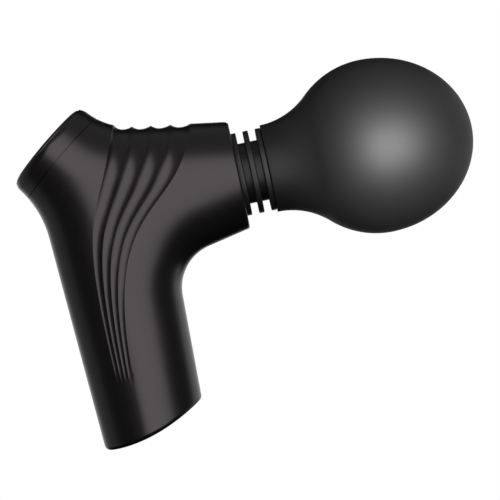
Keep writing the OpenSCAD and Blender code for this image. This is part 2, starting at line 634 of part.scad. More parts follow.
// The rod's small end has a slot, which leaves the wrist pin free where the linkage is opened
slip_x = 0.74 + gap;
slip_y = crank_r;
module small_slot(r, h) {
    for (y = [0, slip_y]) translate([wrist_x, y, 0]) cylinder(r = r, h = h);
    translate([wrist_x - r, 0, 0]) cube([2 * r, slip_y, h]);
}
module connecting_rod() color("#d8d9da") translate([0, 0, rod_z]) difference() {
    union() {
        translate([-crank_r, 0, 0]) cylinder(r = big_r, h = rod_t);
        small_slot(pin_r + slip_x + 1.6, rod_t);
        translate([0, -3, 0]) cube([wrist_x - 4, 6, rod_t]);
    }
    translate([-crank_r, 0, -1]) cylinder(r = bearing_r + 0.03, h = rod_t + 2);
    translate([0, 0, -1]) small_slot(pin_r + slip_x, rod_t + 2);
    for (z = [-0.1, rod_t - 0.7]) translate([6.5, -1.6, z]) cube([7, 3.2, 0.8]);
}
module wrist_pin() color("#c4c8cc") translate([wrist_x, 0, barrel_z - 7.6]) cylinder(r = pin_r, h = 15.2);
module piston() color("#e2e3e4") difference() {
    along_barrel(piston_rear) cylinder(r = piston_r, h = piston_front - piston_rear);
    along_barrel(piston_front - socket_depth) cylinder(r = socket_r, h = socket_depth + 1);
    translate([piston_rear - 1, -20, rod_z - 0.5]) cube([clevis_end - piston_rear + 1, 40, rod_t + 1]);
    translate([wrist_x, 0, barrel_z - 20]) cylinder(r = pin_r, h = 40);
}

// Head: finned stem with its plug, and the ball
fin_x = nose_x - 0.2;
neck_x = fin_x + 2 * fin_pitch + fin_t + neck_gap;
plug_back = fin_x - 20;
spigot_r = 9;
spigot_l = 20;
ring_spots = [6, 13];
ring_t = 0.9;
module head_stem() color("#242324") revolve_stem() union() {
    difference() {
        translate([0, plug_back]) square([plug_r, fin_x - plug_back + 1]);
        for (s = ring_spots) translate([plug_r, plug_back + s]) circle(r = ring_t);
    }
    translate([0, fin_x]) square([core_r, neck_x - fin_x]);
    for (i = [0 : 2]) translate([0, fin_x + i * fin_pitch]) square([fin_r, fin_t]);
    translate([0, neck_x - 1]) square([spigot_r, spigot_l + 1]);
}
module stem_o_rings() color("#101010") for (s = ring_spots) revolve_stem() intersection() {
    translate([plug_r, plug_back + s]) circle(r = ring_t);
    square([plug_r + 0.02, 100]);
}
// Ball profile: a sphere at the belt, a smaller one at the tip with a tangent cone between, and a hollow neck
tip_r = ball_r - 0.4;
tip_x = ball_x + 5;
taper = (ball_r - tip_r) / (tip_x - ball_x);
belt_end = [ball_r * sqrt(1 - taper * taper), ball_x + ball_r * taper];
tip_start = [tip_r * sqrt(1 - taper * taper), tip_x + tip_r * taper];
belt_c = [0, ball_x];
hollow_r = (pow(ball_x - neck_x, 2) + neck_r * neck_r - ball_r * ball_r) / (2 * (ball_r - neck_r));
hollow_c = [neck_r + hollow_r, neck_x];
neck_join = belt_c + ball_r * (hollow_c - belt_c) / norm(hollow_c - belt_c);
lap = 0.5;
module massage_ball() color("#2b2a2a") revolve_stem() difference() {
    union() {
        intersection() {
            translate(belt_c) circle(r = ball_r, $fn = 128);
            translate([0, neck_join.y - lap]) square([60, belt_end.y - neck_join.y + 2 * lap]);
        }
        polygon([[0, belt_end.y], belt_end, tip_start, [0, tip_start.y]]);
        intersection() {
            translate([0, tip_x]) circle(r = tip_r, $fn = 128);
            translate([0, tip_start.y - lap]) square([60, 60]);
        }
        difference() {
            translate([0, neck_x]) square([neck_join.x, neck_join.y - neck_x]);
            translate(hollow_c) circle(r = hollow_r, $fn = 128);
        }
    }
    translate([-eps, neck_x - 1]) square([spigot_r + eps, spigot_l + 1]);
}

// Power: three cells in a holder, with their board and the charging inlet
cell_z = -22;
cell_space = 0.7;
cell_ring = (2 * cell_r + cell_space) / sqrt(3);
holder_t = 1.2;
holder_r = cell_ring + cell_r + 0.9;
holder_w = 30.5;
cup_h = 6;
module cell_spots() for (a = [90, 210, 330]) rotate([0, 0, a]) translate([cell_ring, 0, 0]) children();
module battery_cells() color("#3f6f9f") cell_spots() {
    translate([0, 0, cell_z]) cylinder(r = cell_r, h = cell_l - 1);
    translate([0, 0, cell_z + cell_l - 1.1]) cylinder(r = 2.6, h = 1.1);
}
module battery_holder() color("#c8c9ca") difference() {
    for (z = [cell_z - holder_t, cell_z + cell_l - cup_h - holder_t]) translate([0, 0, z]) intersection() {
        cylinder(r = holder_r, h = cup_h + holder_t);
        translate([-holder_w / 2, -holder_r, 0]) cube([holder_w, 2 * holder_r, cup_h + holder_t]);
    }
    cell_spots() translate([0, 0, cell_z]) cylinder(r = cell_r, h = cell_l - 1);
    cell_spots() translate([0, 0, cell_z + cell_l - 1.5]) cylinder(r = 2.6, h = 5);
}
module battery_tabs() color("#c9ccd0") translate([0, 0, cell_z + cell_l]) {
    cell_spots() translate([-2.5, -2.5, 0]) cube([5, 5, 0.3]);
    rotate([0, 0, 90]) translate([-4.1, -cell_ring, 0]) cube([4, 2 * cell_ring, 0.3]);
}
module battery_board() color("#1f5a3c") {
    translate([-13, -9, cell_z + cell_l + 0.3]) cube([26, 18, 1.2]);
    translate([-10, 3, cell_z + cell_l + 1.5]) cube([5, 4, 1]);
}
usb_board_z = cell_z - holder_t - 1.2;
module usb_board() color("#1f5a3c") translate([-9, -7.5, usb_board_z]) cube([16, 15, 1.2]);
module usb_socket() color("#b9bcc0") translate([usb_x, 0, usb_board_z - 7.8]) {
    difference() {
        slot_plate(usb_w, usb_t, 7.8);
        translate([0, 0, -1]) slot_plate(usb_w - 0.6, usb_t - 0.6, 7.8);
    }
    translate([-0.35, -3.3, 1]) cube([0.7, 6.6, 6.5]);
}
module slot_plate(w, t, h) {
    for (s = [-1, 1]) translate([0, s * (w - t) / 2, 0]) cylinder(d = t, h = h);
    translate([-t / 2, -(w - t) / 2, 0]) cube([t, w - t, h]);
}

// Leads: round wires along lists of points
wire_r = 0.7;
function unit(v) = v / norm(v);
function tangent(p, i) = unit(p[min(i + 1, len(p) - 1)] - p[max(i - 1, 0)]);
module wire(path, r = wire_r, sides = 8) {
    rings = [for (i = [0 : len(path) - 1]) let (t = tangent(path, i),
            s = unit(cross(t, abs(t.y) < 0.9 ? [0, 1, 0] : [1, 0, 0])), n = cross(s, t))
        for (k = [0 : sides - 1]) path[i] + r * (cos(360 * k / sides) * s + sin(360 * k / sides) * n)];
    last = (len(path) - 1) * sides;
    faces = concat([[for (k = [0 : sides - 1]) k], [for (k = [sides - 1 : -1 : 0]) last + k]],
        [for (i = [0 : len(path) - 2]) for (k = [0 : sides - 1]) let (a = i * sides + k,
            b = i * sides + (k + 1) % sides) each [[a, a + sides, b + sides], [a, b + sides, b]]]);
    polyhedron(rings, faces);
}
lead_top = hub + driver_reach * rear_n - 9 * rear_t;
back_run = [[-11.5, 30.2], [-16, 31], [-18.2, 36], [-18.6, 44], [-19.2, 52], [-18.2, 57.5], [-15.2, 61.6],
    lead_top - 3 * rear_n, lead_top];
module wiring() color("#a02c28") for (y = [-5, -3])
    wire([for (p = back_run) [p.x, y, p.y]]);

right_shell();
left_shell();
housing_screws();
rear_cap();
control_panel();
power_button();
indicator_lights();
control_board();
tact_switch();
board_pillars();
driver_board();
driver_parts();
drive_frame();
frame_pads();
motor_base();
motor_screws();
motor_bearings();
motor_stator();
motor_windings();
motor_bell();
motor_magnets();
motor_shaft();
eccentric();
crank_pin();
crank_bearing();
connecting_rod();
wrist_pin();
piston();
guide_barrel();
guide_bush();
wiper_seal();
barrel_damper();
barrel_screws();
head_stem();
stem_o_rings();
massage_ball();
battery_cells();
battery_holder();
battery_tabs();
battery_board();
usb_board();
usb_socket();
wiring();
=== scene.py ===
"""Cordless percussion massage gun: looks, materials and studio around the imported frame.

Lengths in the classes are millimetres in the part's own frame: +X along the barrel towards the ball, +Z up
the grip, with the origin in the middle of the grip. Meshes are written in metres.
"""

from __future__ import annotations

import json
import logging
import math
from collections.abc import Callable, Iterator, Sequence
from contextlib import contextmanager
from dataclasses import dataclass, field
from enum import Enum, IntEnum

import bpy
import numpy as np
from mathutils import Matrix, Vector

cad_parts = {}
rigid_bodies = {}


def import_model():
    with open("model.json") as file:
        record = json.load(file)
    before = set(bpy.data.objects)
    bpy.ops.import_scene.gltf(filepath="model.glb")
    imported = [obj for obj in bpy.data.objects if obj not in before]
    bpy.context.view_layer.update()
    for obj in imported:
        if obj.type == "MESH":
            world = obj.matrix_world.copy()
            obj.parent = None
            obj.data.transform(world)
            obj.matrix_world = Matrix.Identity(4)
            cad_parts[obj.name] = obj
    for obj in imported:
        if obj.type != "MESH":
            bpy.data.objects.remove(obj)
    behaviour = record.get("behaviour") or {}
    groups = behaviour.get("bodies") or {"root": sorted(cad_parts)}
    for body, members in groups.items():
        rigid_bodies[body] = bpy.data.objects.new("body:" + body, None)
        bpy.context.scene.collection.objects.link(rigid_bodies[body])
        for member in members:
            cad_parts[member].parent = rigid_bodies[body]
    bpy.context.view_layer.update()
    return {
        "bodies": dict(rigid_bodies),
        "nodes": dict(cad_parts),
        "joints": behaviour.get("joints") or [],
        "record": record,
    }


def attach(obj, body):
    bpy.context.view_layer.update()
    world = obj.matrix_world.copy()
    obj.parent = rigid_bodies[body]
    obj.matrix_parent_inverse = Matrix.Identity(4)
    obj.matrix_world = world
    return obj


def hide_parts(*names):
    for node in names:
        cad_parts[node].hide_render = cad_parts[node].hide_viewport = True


LOG = logging.getLogger("massage_gun")
# In metres: a millimetre, the distance of a point on the middle plane, of points that weld and of a sliver
MM = 0.001
TINY = 1e-6
WELD = 1e-7
SLIVER = 1e-8
# Slow drift of a finish: cells to the metre, weight against the fine texture, and ends of the colour mix
CLOUD_CELLS = 45
CLOUD_SHARE = 0.75
TINT_STEP = (0.3, 0.7)
CORNER_STEPS = 5
Pair = tuple[float, float]
Triple = tuple[float, float, float]
Colour = Triple
Counts = tuple[int, int, int, int]
Edge = Callable[[np.ndarray], np.ndarray]
Value = "Sock | float | Sequence[float]"


class Side(Enum):
    """Half of the housing, by the sign of its Y."""

    RIGHT = -1
    LEFT = 1


class Shaping(Enum):
    """What a tool solid does to another solid."""

    CUT = "DIFFERENCE"
    ADD = "UNION"
    TRIM = "INTERSECT"


class Facets(IntEnum):
    """Steps round a turned shape, by its size."""

    BALL = 160
    DISC = 128
    BUTTON = 96
    SCREW = 48
    BOSS = 40
    HOLE = 32
    PIPE = 24


class Sock:
    """Output socket of a shader tree, with arithmetic that adds Math nodes."""

    def __init__(self, tree: "Tree", socket: bpy.types.NodeSocket) -> None:
        """Wrap one output socket of a tree."""
        self.tree = tree
        self.socket = socket

    def _math(self, operation: str, *values: Value) -> "Sock":
        """Add one Math node.

        Args:
            operation: Name of the Math node's operation.
            values: Its inputs in order.

        Returns:
            The node's output.
        """
        node = self.tree.node("ShaderNodeMath", {"operation": operation}, dict(enumerate(values)))
        return Sock(self.tree, node.outputs[0])

    def __add__(self, other: Value) -> "Sock":
        """Sum."""
        return self._math("ADD", self, other)

    __radd__ = __add__

    def __sub__(self, other: Value) -> "Sock":
        """Difference."""
        return self._math("SUBTRACT", self, other)

    def __rsub__(self, other: Value) -> "Sock":
        """Reflected difference."""
        return self._math("SUBTRACT", other, self)

    def __mul__(self, other: Value) -> "Sock":
        """Product."""
        return self._math("MULTIPLY", self, other)

    __rmul__ = __mul__

    def largest(self, other: Value) -> "Sock":
        """Larger of two values."""
        return self._math("MAXIMUM", self, other)

    def step(self, low: float, high: float) -> "Sock":
        """Smooth step from 0 at low to 1 at high."""
        node = self.tree.node("ShaderNodeMapRange", {"interpolation_type": "SMOOTHSTEP"},
                              {"Value": self, "From Min": low, "From Max": high})
        return Sock(self.tree, node.outputs[0])


class Tree:
    """Node tree of a material or the world."""

    def __init__(self, owner: bpy.types.ID) -> None:
        """Empty the tree of a material or world and start anew."""
        owner.use_nodes = True
        self.nodes = owner.node_tree.nodes
        self.links = owner.node_tree.links
        self.nodes.clear()

    def node(self, kind: str, settings: dict | None = None, inputs: dict | None = None) -> bpy.types.Node:
        """Add a node.

        Args:
            kind: The node's type name.
            settings: Attributes that are set before the sockets.
            inputs: Socket name or number to a value or a link.

        Returns:
            The new node.
        """
        node = self.nodes.new(kind)
        for name, value in (settings or {}).items():
            setattr(node, name, value)
        for key, value in (inputs or {}).items():
            if isinstance(value, Sock):
                self.links.new(value.socket, node.inputs[key])
            elif isinstance(value, bpy.types.NodeSocket):
                self.links.new(value, node.inputs[key])
            else:
                node.inputs[key].default_value = value
        return node

    def sock(self, kind: str, out: str | int, settings: dict | None = None,
             inputs: dict | None = None) -> Sock:
        """Add a node and return one of its outputs."""
        return Sock(self, self.node(kind, settings, inputs).outputs[out])

    def place(self, stretch: Sequence[float] = (1, 1, 1)) -> Sock:
        """Object coordinates, stretched along each axis."""
        at = self.sock("ShaderNodeTexCoord", "Object")
        return self.sock("ShaderNodeMapping", 0, {}, {"Vector": at, "Scale": stretch})

    def noise(self, scale: float, detail: float = 2, at: Sock | None = None) -> Sock:
        """Noise of a given number of cells to the metre."""
        return self.sock("ShaderNodeTexNoise", 0, {},
                         {"Vector": at or self.place(), "Scale": scale, "Detail": detail})

    def tint(self, share: Sock, low: Sequence[float], high: Sequence[float]) -> Sock:
        """Mix two colours by a share; the node's colour pair is its sockets 6 and 7."""
        return self.sock("ShaderNodeMix", 2, {"data_type": "RGBA"}, {0: share, 6: (*low, 1), 7: (*high, 1)})


def shade(colour: Colour, factor: float) -> Colour:
    """Colour times a factor."""
    return tuple(min(channel * factor, 1) for channel in colour)


@dataclass(frozen=True)
class Finish:
    """Surface of one kind of material.

    Attributes:
        name: Material name.
        colour: Middle colour, linear.
        roughness: Middle roughness.
        metallic: 0 for plastic and rubber, 1 for metal.
        grain: Size of the fine texture in millimetres.
        relief: Depth of the fine texture in millimetres.
        cloud: Share by which the colour drifts over the surface.
        drift: Amount by which the roughness drifts.
        specular: Specular level of the plain shader.
        coat: Weight of a lacquer layer.
        coat_roughness: Roughness of that layer.
        lay: Stretch of the fine texture, for brushed or turned metal.
        tint: Colour of the reflection.
    """

    name: str
    colour: Colour
    roughness: float
    metallic: float = 0
    grain: float = 0.35
    relief: float = 0.01
    cloud: float = 0.1
    drift: float = 0.05
    specular: float = 0.5
    coat: float = 0
    coat_roughness: float = 0.1
    lay: Triple = (1, 1, 1)
    tint: Colour = (1, 1, 1)

    def pattern(self, tree: Tree, fine: Sock) -> tuple[Sock, Sock]:
        """Colour share and height of the surface, which a kind of finish may change."""
        return tree.noise(CLOUD_CELLS, 3) * CLOUD_SHARE + fine * (1 - CLOUD_SHARE), fine

    def material(self) -> bpy.types.Material:
        """Material of this finish, made once.

        Returns:
            The Blender material.
        """
        made = bpy.data.materials.get(self.name)
        if made:
            return made
        made = bpy.data.materials.new(self.name)
        tree = Tree(made)
        fine = tree.noise(1 / (self.grain * MM), at=tree.place(self.lay))
        share, height = self.pattern(tree, fine)
        dark, light = (shade(self.colour, 1 + sign * self.cloud) for sign in (-1, 1))
        colour = tree.tint(share.step(*TINT_STEP), dark, light)
        roughness = self.roughness + (share - 0.5) * (2 * self.drift)
        bump = tree.sock("ShaderNodeBump", 0, {},
                         {"Height": height, "Strength": 1.0, "Distance": self.relief * MM})
        shader = tree.node("ShaderNodeBsdfPrincipled", {}, {
            "Base Color": colour, "Roughness": roughness, "Metallic": self.metallic, "Normal": bump,
            "Specular IOR Level": self.specular, "Specular Tint": (*self.tint, 1),
            "Coat Weight": self.coat, "Coat Roughness": self.coat_roughness})
        tree.node("ShaderNodeOutputMaterial", {}, {"Surface": shader.outputs[0]})
        return made


@dataclass(frozen=True)
class Board(Finish):
    """Circuit board: solder mask with copper traces under it."""

    trace_cells: float = 420.0
    trace_stretch: Triple = (1, 1, 1.7)
    trace_width: float = 0.03
    trace_share: float = 0.6
    fine_share: float = 0.3

    def pattern(self, tree: Tree, fine: Sock) -> tuple[Sock, Sock]:
        """Traces as the edges of stretched bricks."""
        traces = tree.sock("ShaderNodeTexBrick", 1, {}, {
            "Vector": tree.place(self.trace_stretch), "Scale": self.trace_cells,
            "Mortar Size": self.trace_width})
        return traces * self.trace_share + fine * self.fine_share, traces


@dataclass(frozen=True)
class Winding(Finish):
    """Enamelled wire, wound turn beside turn."""

    turn_cells: float = 330.0

    def pattern(self, tree: Tree, fine: Sock) -> tuple[Sock, Sock]:
        """Turns as bands."""
        turns = tree.sock("ShaderNodeTexWave", 1, {"bands_direction": "Z"},
                          {"Vector": tree.place(), "Scale": self.turn_cells})
        return turns, turns


SATIN = Finish("satin_black", (0.0034, 0.003, 0.003), 0.33, grain=0.3, relief=0.002, drift=0.015,
               tint=(1, 0.91, 0.935))
STEM_BLACK = Finish("stem_black", (0.008, 0.0075, 0.0075), 0.45, grain=0.25, relief=0.003, drift=0.03,
                    specular=0.35)
SOFT_GREY = Finish("soft_grey", (0.0045, 0.0042, 0.0043), 0.56, grain=0.4, relief=0.003, cloud=0.05,
                   drift=0.015, specular=0.26)
PIANO = Finish("piano_black", (0.004, 0.004, 0.0045), 0.12, grain=2, relief=0.001, coat=0.6,
               coat_roughness=0.05)
BUTTON_GREY = Finish("button_grey", (0.04, 0.04, 0.042), 0.38, grain=0.2, relief=0.004)
FROSTED = Finish("frosted_light", (0.72, 0.78, 0.82), 0.35, grain=0.3, relief=0.003, cloud=0.03)
GREEN = Board("board_green", (0.014, 0.10, 0.045), 0.3, relief=0.03, cloud=0.3)
CHIP = Finish("chip_black", (0.015, 0.015, 0.016), 0.55, grain=0.15)
BRASS = Finish("turned_brass", (0.58, 0.40, 0.12), 0.25, 1, lay=(1, 1, 6))
CAST = Finish("cast_alloy", (0.50, 0.52, 0.54), 0.42, 1, grain=0.5, relief=0.03)
STEEL = Finish("ground_steel", (0.56, 0.57, 0.59), 0.22, 1, grain=0.2, relief=0.003, lay=(1, 1, 8))
ZINC = Finish("zinc_plated", (0.40, 0.41, 0.43), 0.3, 1, grain=0.3, relief=0.004)
LAMINATION = Finish("lamination", (0.16, 0.17, 0.19), 0.4, 1, grain=0.35, relief=0.02, lay=(0.1, 0.1, 3))
BELL_BLACK = Finish("bell_black", (0.042, 0.045, 0.051), 0.35, 0, relief=0.006)
COPPER = Winding("copper_winding", (0.48, 0.16, 0.03), 0.3, 0.8, relief=0.12, cloud=0.2)
SINTERED = Finish("sintered_weight", (0.30, 0.31, 0.33), 0.5, 1, grain=0.25, relief=0.02)
ACETAL = Finish("acetal_white", (0.66, 0.66, 0.65), 0.38, grain=0.6, relief=0.004, cloud=0.02)
BRONZE = Finish("sintered_bronze", (0.45, 0.27, 0.08), 0.45, 1, grain=0.2, relief=0.015)
RUBBER = Finish("black_rubber", (0.018, 0.018, 0.019), 0.62, grain=0.25, relief=0.01)
WRAP = Finish("cell_wrap", (0.05, 0.16, 0.35), 0.28, grain=3, relief=0.006)
LEAD = Finish("lead_red", (0.35, 0.025, 0.02), 0.4)

CAD_FINISHES: dict[Finish, tuple[str, ...]] = {
    GREEN: ("control_board", "driver_board", "battery_board", "usb_board"),
    CHIP: ("tact_switch", "driver_parts"),
    BRASS: ("board_pillars",),
    CAST: ("drive_frame", "motor_base", "guide_barrel"),
    STEEL: ("motor_bearings", "motor_shaft", "crank_pin", "crank_bearing", "wrist_pin", "battery_tabs"),
    ZINC: ("motor_screws", "barrel_screws"),
    LAMINATION: ("motor_stator", "motor_magnets"),
    BELL_BLACK: ("motor_bell",),
    COPPER: ("motor_windings",),
    SINTERED: ("eccentric",),
    ACETAL: ("connecting_rod", "piston", "battery_holder"),
    BRONZE: ("guide_bush",),
    RUBBER: ("frame_pads", "wiper_seal", "barrel_damper", "stem_o_rings"),
    WRAP: ("battery_cells",),
    LEAD: ("wiring",),
}


def pick(obj: bpy.types.Object) -> None:
    """Select one object alone and make it active."""
    bpy.ops.object.select_all(action="DESELECT")
    obj.select_set(True)
    bpy.context.view_layer.objects.active = obj


def linked(name: str, data: bpy.types.ID) -> bpy.types.Object:
    """New object of some data, linked to the scene.

    Args:
        name: Object name.
        data: Its mesh, light or camera.

    Returns:
        The object.
    """
    obj = bpy.data.objects.new(name, data)
    bpy.context.scene.collection.objects.link(obj)
    return obj


def added(name: str, add: Callable[..., set[str]], **settings: float | str) -> bpy.types.Object:
    """Object of a primitive that is added with nothing else selected.

    Args:
        name: Name of the object and its mesh.
        add: Operator that adds the primitive.
        settings: The operator's settings.

    Returns:
        The new object.
    """
    bpy.ops.object.select_all(action="DESELECT")
    add(**settings)
    obj = bpy.context.active_object
    obj.name = obj.data.name = name
    return obj


@contextmanager
def editing(obj: bpy.types.Object) -> Iterator[None]:
    """Edit mode on one object, with everything selected.

    Args:
        obj: The object.
    """
    pick(obj)
    bpy.ops.object.mode_set(mode="EDIT")
    bpy.ops.mesh.select_all(action="SELECT")
    yield
    bpy.ops.object.mode_set(mode="OBJECT")


def mesh_object(name: str, points: np.ndarray, faces: Sequence[Sequence[int]]) -> bpy.types.Object:
    """Object from points in millimetres and faces.

    Args:
        name: Name of the object and its mesh.
        points: One row of three coordinates per point.
        faces: Point numbers of each face.

    Returns:
        The new object, linked to the scene.
    """
    mesh = bpy.data.meshes.new(name)
    mesh.from_pydata((np.asarray(points) * MM).tolist(), [], [list(f) for f in faces])
    mesh.update()
    return linked(name, mesh)


def copy_of(obj: bpy.types.Object, name: str) -> bpy.types.Object:
    """Copy of an object with its own mesh.

    Args:
        obj: The object.
        name: Name of the copy.

    Returns:
        The copy.
    """
    twin = obj.copy()
    twin.data = obj.data.copy()
    twin.name = twin.data.name = name
    bpy.context.scene.collection.objects.link(twin)
    return twin


def drop(*objects: bpy.types.Object) -> None:
    """Delete helper objects."""
    for obj in objects:
        bpy.data.objects.remove(obj)


def combine(obj: bpy.types.Object, tool: bpy.types.Object, shaping: Shaping = Shaping.CUT,
            keep: bool = False) -> None:
    """Apply a boolean with a tool object.

    Args:
        obj: The object that changes.
        tool: The other solid.
        shaping: What the tool does.
        keep: True if the tool is used again.
    """
    pick(obj)
    change = obj.modifiers.new("combine", "BOOLEAN")
    change.object = tool
    change.operation = shaping.value
    change.solver = "MANIFOLD"
    bpy.ops.object.modifier_apply(modifier=change.name)
    if not keep:
        drop(tool)


def slice_off(obj: bpy.types.Object, point: Sequence[float], normal: Sequence[float]) -> None:
    """Cut a closed solid by a plane and fill the cut.

    Args:
        obj: The solid.
        point: Point of the plane in millimetres.
        normal: Direction of the side that is dropped.
    """
    with editing(obj):
        bpy.ops.mesh.bisect(plane_co=Vector(point) * MM, plane_no=normal, use_fill=True, clear_outer=True)


def rod(name: str, radius: float, depth: float, place: Matrix, sides: int) -> bpy.types.Object:
    """Cylinder from z 0 to depth in a frame given in millimetres.

    Args:
        name: Object name.
        radius: Its radius.
        depth: Its length.
        place: Frame of its foot.
        sides: Number of sides.

    Returns:
        The cylinder, with its place in its mesh.
    """
    obj = added(name, bpy.ops.mesh.primitive_cylinder_add, vertices=sides, radius=radius * MM,
                depth=depth * MM)
    obj.data.transform(Matrix.Translation((0, 0, depth * MM / 2)))
    obj.data.transform(to_metres(place))
    return obj


def block(name: str, size: Triple, place: Matrix) -> bpy.types.Object:
    """Box of a size in millimetres.

    Args:
        name: Object name.
        size: Its three sides.
        place: Frame of its middle.

    Returns:
        The box, with its place in its mesh.
    """
    obj = added(name, bpy.ops.mesh.primitive_cube_add, size=1)
    obj.data.transform(to_metres(place) @ Matrix.Diagonal((*(side * MM for side in size), 1)))
    return obj


def stadium(name: str, x: float, size: Pair, low: float, high: float) -> bpy.types.Object:
    """Round-ended slot shape in the middle plane.

    Args:
        name: Object name.
        x: Place of its middle.
        size: Width along Y and thickness.
        low: Height of its lower end.
        high: Height of its upper end.

    Returns:
        The solid.
    """
    width, thick = size
    obj = rod(name, thick / 2, high - low, Matrix.Translation((x, 0, low)), Facets.SCREW)
    for vertex in obj.data.vertices:
        if abs(vertex.co.y) > TINY:
            vertex.co.y += math.copysign((width - thick) / 2 * MM, vertex.co.y)
    return obj


def turned(degrees: float, axis: str) -> Matrix:
    """Rotation about an axis."""
    return Matrix.Rotation(math.radians(degrees), 4, axis)


def to_metres(place: Matrix) -> Matrix:
    """The same frame with its origin in metres."""
    out = place.copy()
    out.translation = place.translation * MM
    return out


def lathe(name: str, profile: Sequence[Pair], place: Matrix, steps: int,
          closed: bool = False) -> bpy.types.Object:
    """Solid of revolution, spun in edit mode.

    Args:
        name: Object name.
        profile: Radius and height of each point, in millimetres.
        place: Frame whose Z is the axis.
        steps: Number of steps round the axis.
        closed: True for a ring, whose profile closes on itself.

    Returns:
        The solid, with its place in its mesh.
    """
    mesh = bpy.data.meshes.new(name)
    count = len(profile)
    edges = [(i, i + 1) for i in range(count - 1)] + ([(count - 1, 0)] if closed else [])
    mesh.from_pydata([(r * MM, 0, z * MM) for r, z in profile], edges, [])
    obj = linked(name, mesh)
    with editing(obj):
        bpy.ops.mesh.spin(steps=steps, angle=math.tau, center=(0, 0, 0), axis=(0, 0, 1))
        bpy.ops.mesh.select_all(action="SELECT")
        bpy.ops.mesh.remove_doubles(threshold=WELD)
        bpy.ops.mesh.dissolve_degenerate(threshold=SLIVER)
        bpy.ops.mesh.select_all(action="SELECT")
        bpy.ops.mesh.normals_make_consistent(inside=False)
    obj.data.transform(to_metres(place))
    return obj


def join(name: str, objects: Sequence[bpy.types.Object]) -> bpy.types.Object:
    """Join objects into one.

    Args:
        name: Name of the joined object.
        objects: The objects.

    Returns:
        The joined object.
    """
    bpy.ops.object.select_all(action="DESELECT")
    for obj in objects:
        obj.select_set(True)
    bpy.context.view_layer.objects.active = objects[0]
    bpy.ops.object.join()
    objects[0].name = objects[0].data.name = name
    return objects[0]


def scatter(name: str, base: bpy.types.Object, frames: Sequence[Matrix]) -> bpy.types.Object:
    """Copies of a small solid in several frames, joined into one object.

    Args:
        name: Name of the joined object.
        base: The solid, which is deleted afterwards.
        frames: Frame of each copy, in millimetres.

    Returns:
        The joined object.
    """
    twins = []
    for number, frame in enumerate(frames):
        twin = copy_of(base, f"{name}_{number}")
        twin.data.transform(to_metres(frame))
        twins.append(twin)
    drop(base)
    return join(name, twins)


def rounded(corners: Sequence[Triple]) -> list[Pair]:
    """Polyline with its corners rounded.

    Args:
        corners: Radius, height and corner rounding of each point.

    Returns:
        Points of the rounded line.
    """
    pts = [np.array(c[:2], float) for c in corners]
    out: list[Pair] = []
    for i, (p, corner) in enumerate(zip(pts, corners)):
        rim = corner[2]
        if rim <= 0 or i in (0, len(pts) - 1):
            out.append((float(p[0]), float(p[1])))
            continue
        a = (pts[i - 1] - p) / np.linalg.norm(pts[i - 1] - p)
        b = (pts[i + 1] - p) / np.linalg.norm(pts[i + 1] - p)
        half = math.acos(float(np.clip(a @ b, -1, 1))) / 2
        reach = rim / math.tan(half)
        middle = p + (a + b) / np.linalg.norm(a + b) * rim / math.sin(half)
        start, end = p + a * reach - middle, p + b * reach - middle
        turn = math.pi - 2 * half
        for t in np.linspace(0, 1, CORNER_STEPS + 1):
            arm = (math.sin((1 - t) * turn) * start + math.sin(t * turn) * end) / math.sin(turn)
            out.append((float(middle[0] + arm[0]), float(middle[1] + arm[1])))
    return out


def smooth(obj: bpy.types.Object, angle: float = 30) -> None:
    """Shade an object smooth, with creases past an angle in degrees."""
    pick(obj)
    bpy.ops.object.shade_smooth_by_angle(angle=math.radians(angle))


def finish_piece(obj: bpy.types.Object, body: str, finish: Finish, nodes: Sequence[str]) -> None:
    """Dress a piece and tie it to the frame.

    Args:
        obj: The piece.
        body: Body that it rides on.
        finish: Its finish.
        nodes: Nodes that it stands for.
    """
    obj.data.materials.clear()
    obj.data.materials.append(finish.material())
    for face in obj.data.polygons:
        face.material_index = 0
    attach(obj, body)
    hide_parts(*nodes)
    LOG.info("%s: %d faces on %s", obj.name, len(obj.data.polygons), body)


def heading(degrees: float) -> np.ndarray:
    """Unit vector of an angle in the side view."""
    return np.array([math.cos(math.radians(degrees)), math.sin(math.radians(degrees))])


def mix(a: np.ndarray | float, b: np.ndarray | float, t: np.ndarray | float) -> np.ndarray:
    """Straight blend from a to b."""
    return a + (b - a) * t


def ease(t: np.ndarray | float) -> np.ndarray:
    """Steps that crowd at both ends."""
    return (1 - np.cos(np.pi * np.asarray(t, float))) / 2


def outer(t: np.ndarray) -> np.ndarray:
    """Array with a last axis of one, to scale points."""
    return np.asarray(t)[..., None]


@dataclass
class Fillet:
    """Concave stretch of the side view between two straight edges.

    Attributes:
        centre: Centre of the arc.
        radius: Its radius.
        low: Direction of the first edge's inward normal in degrees.
        high: Direction of the second edge's.
    """

    centre: np.ndarray
    radius: float
    low: float
    high: float

    def depth(self, p: np.ndarray, inset: float) -> np.ndarray:
        """Distance of points into the body from this stretch.

        Args:
            p: Points of the side view.
            inset: Distance by which the body is drawn in.

        Returns:
            The distance of each point.
        """
        q = p - self.centre
        turn = (np.degrees(np.arctan2(q[..., 1], q[..., 0])) - (self.low + self.high) / 2 + 180) % 360 - 180
        inside = np.abs(turn) <= (self.high - self.low) / 2
        flat = np.where(turn < 0, q @ heading(self.low), q @ heading(self.high))
        return np.where(inside, np.linalg.norm(q, axis=-1), flat) - self.radius - inset


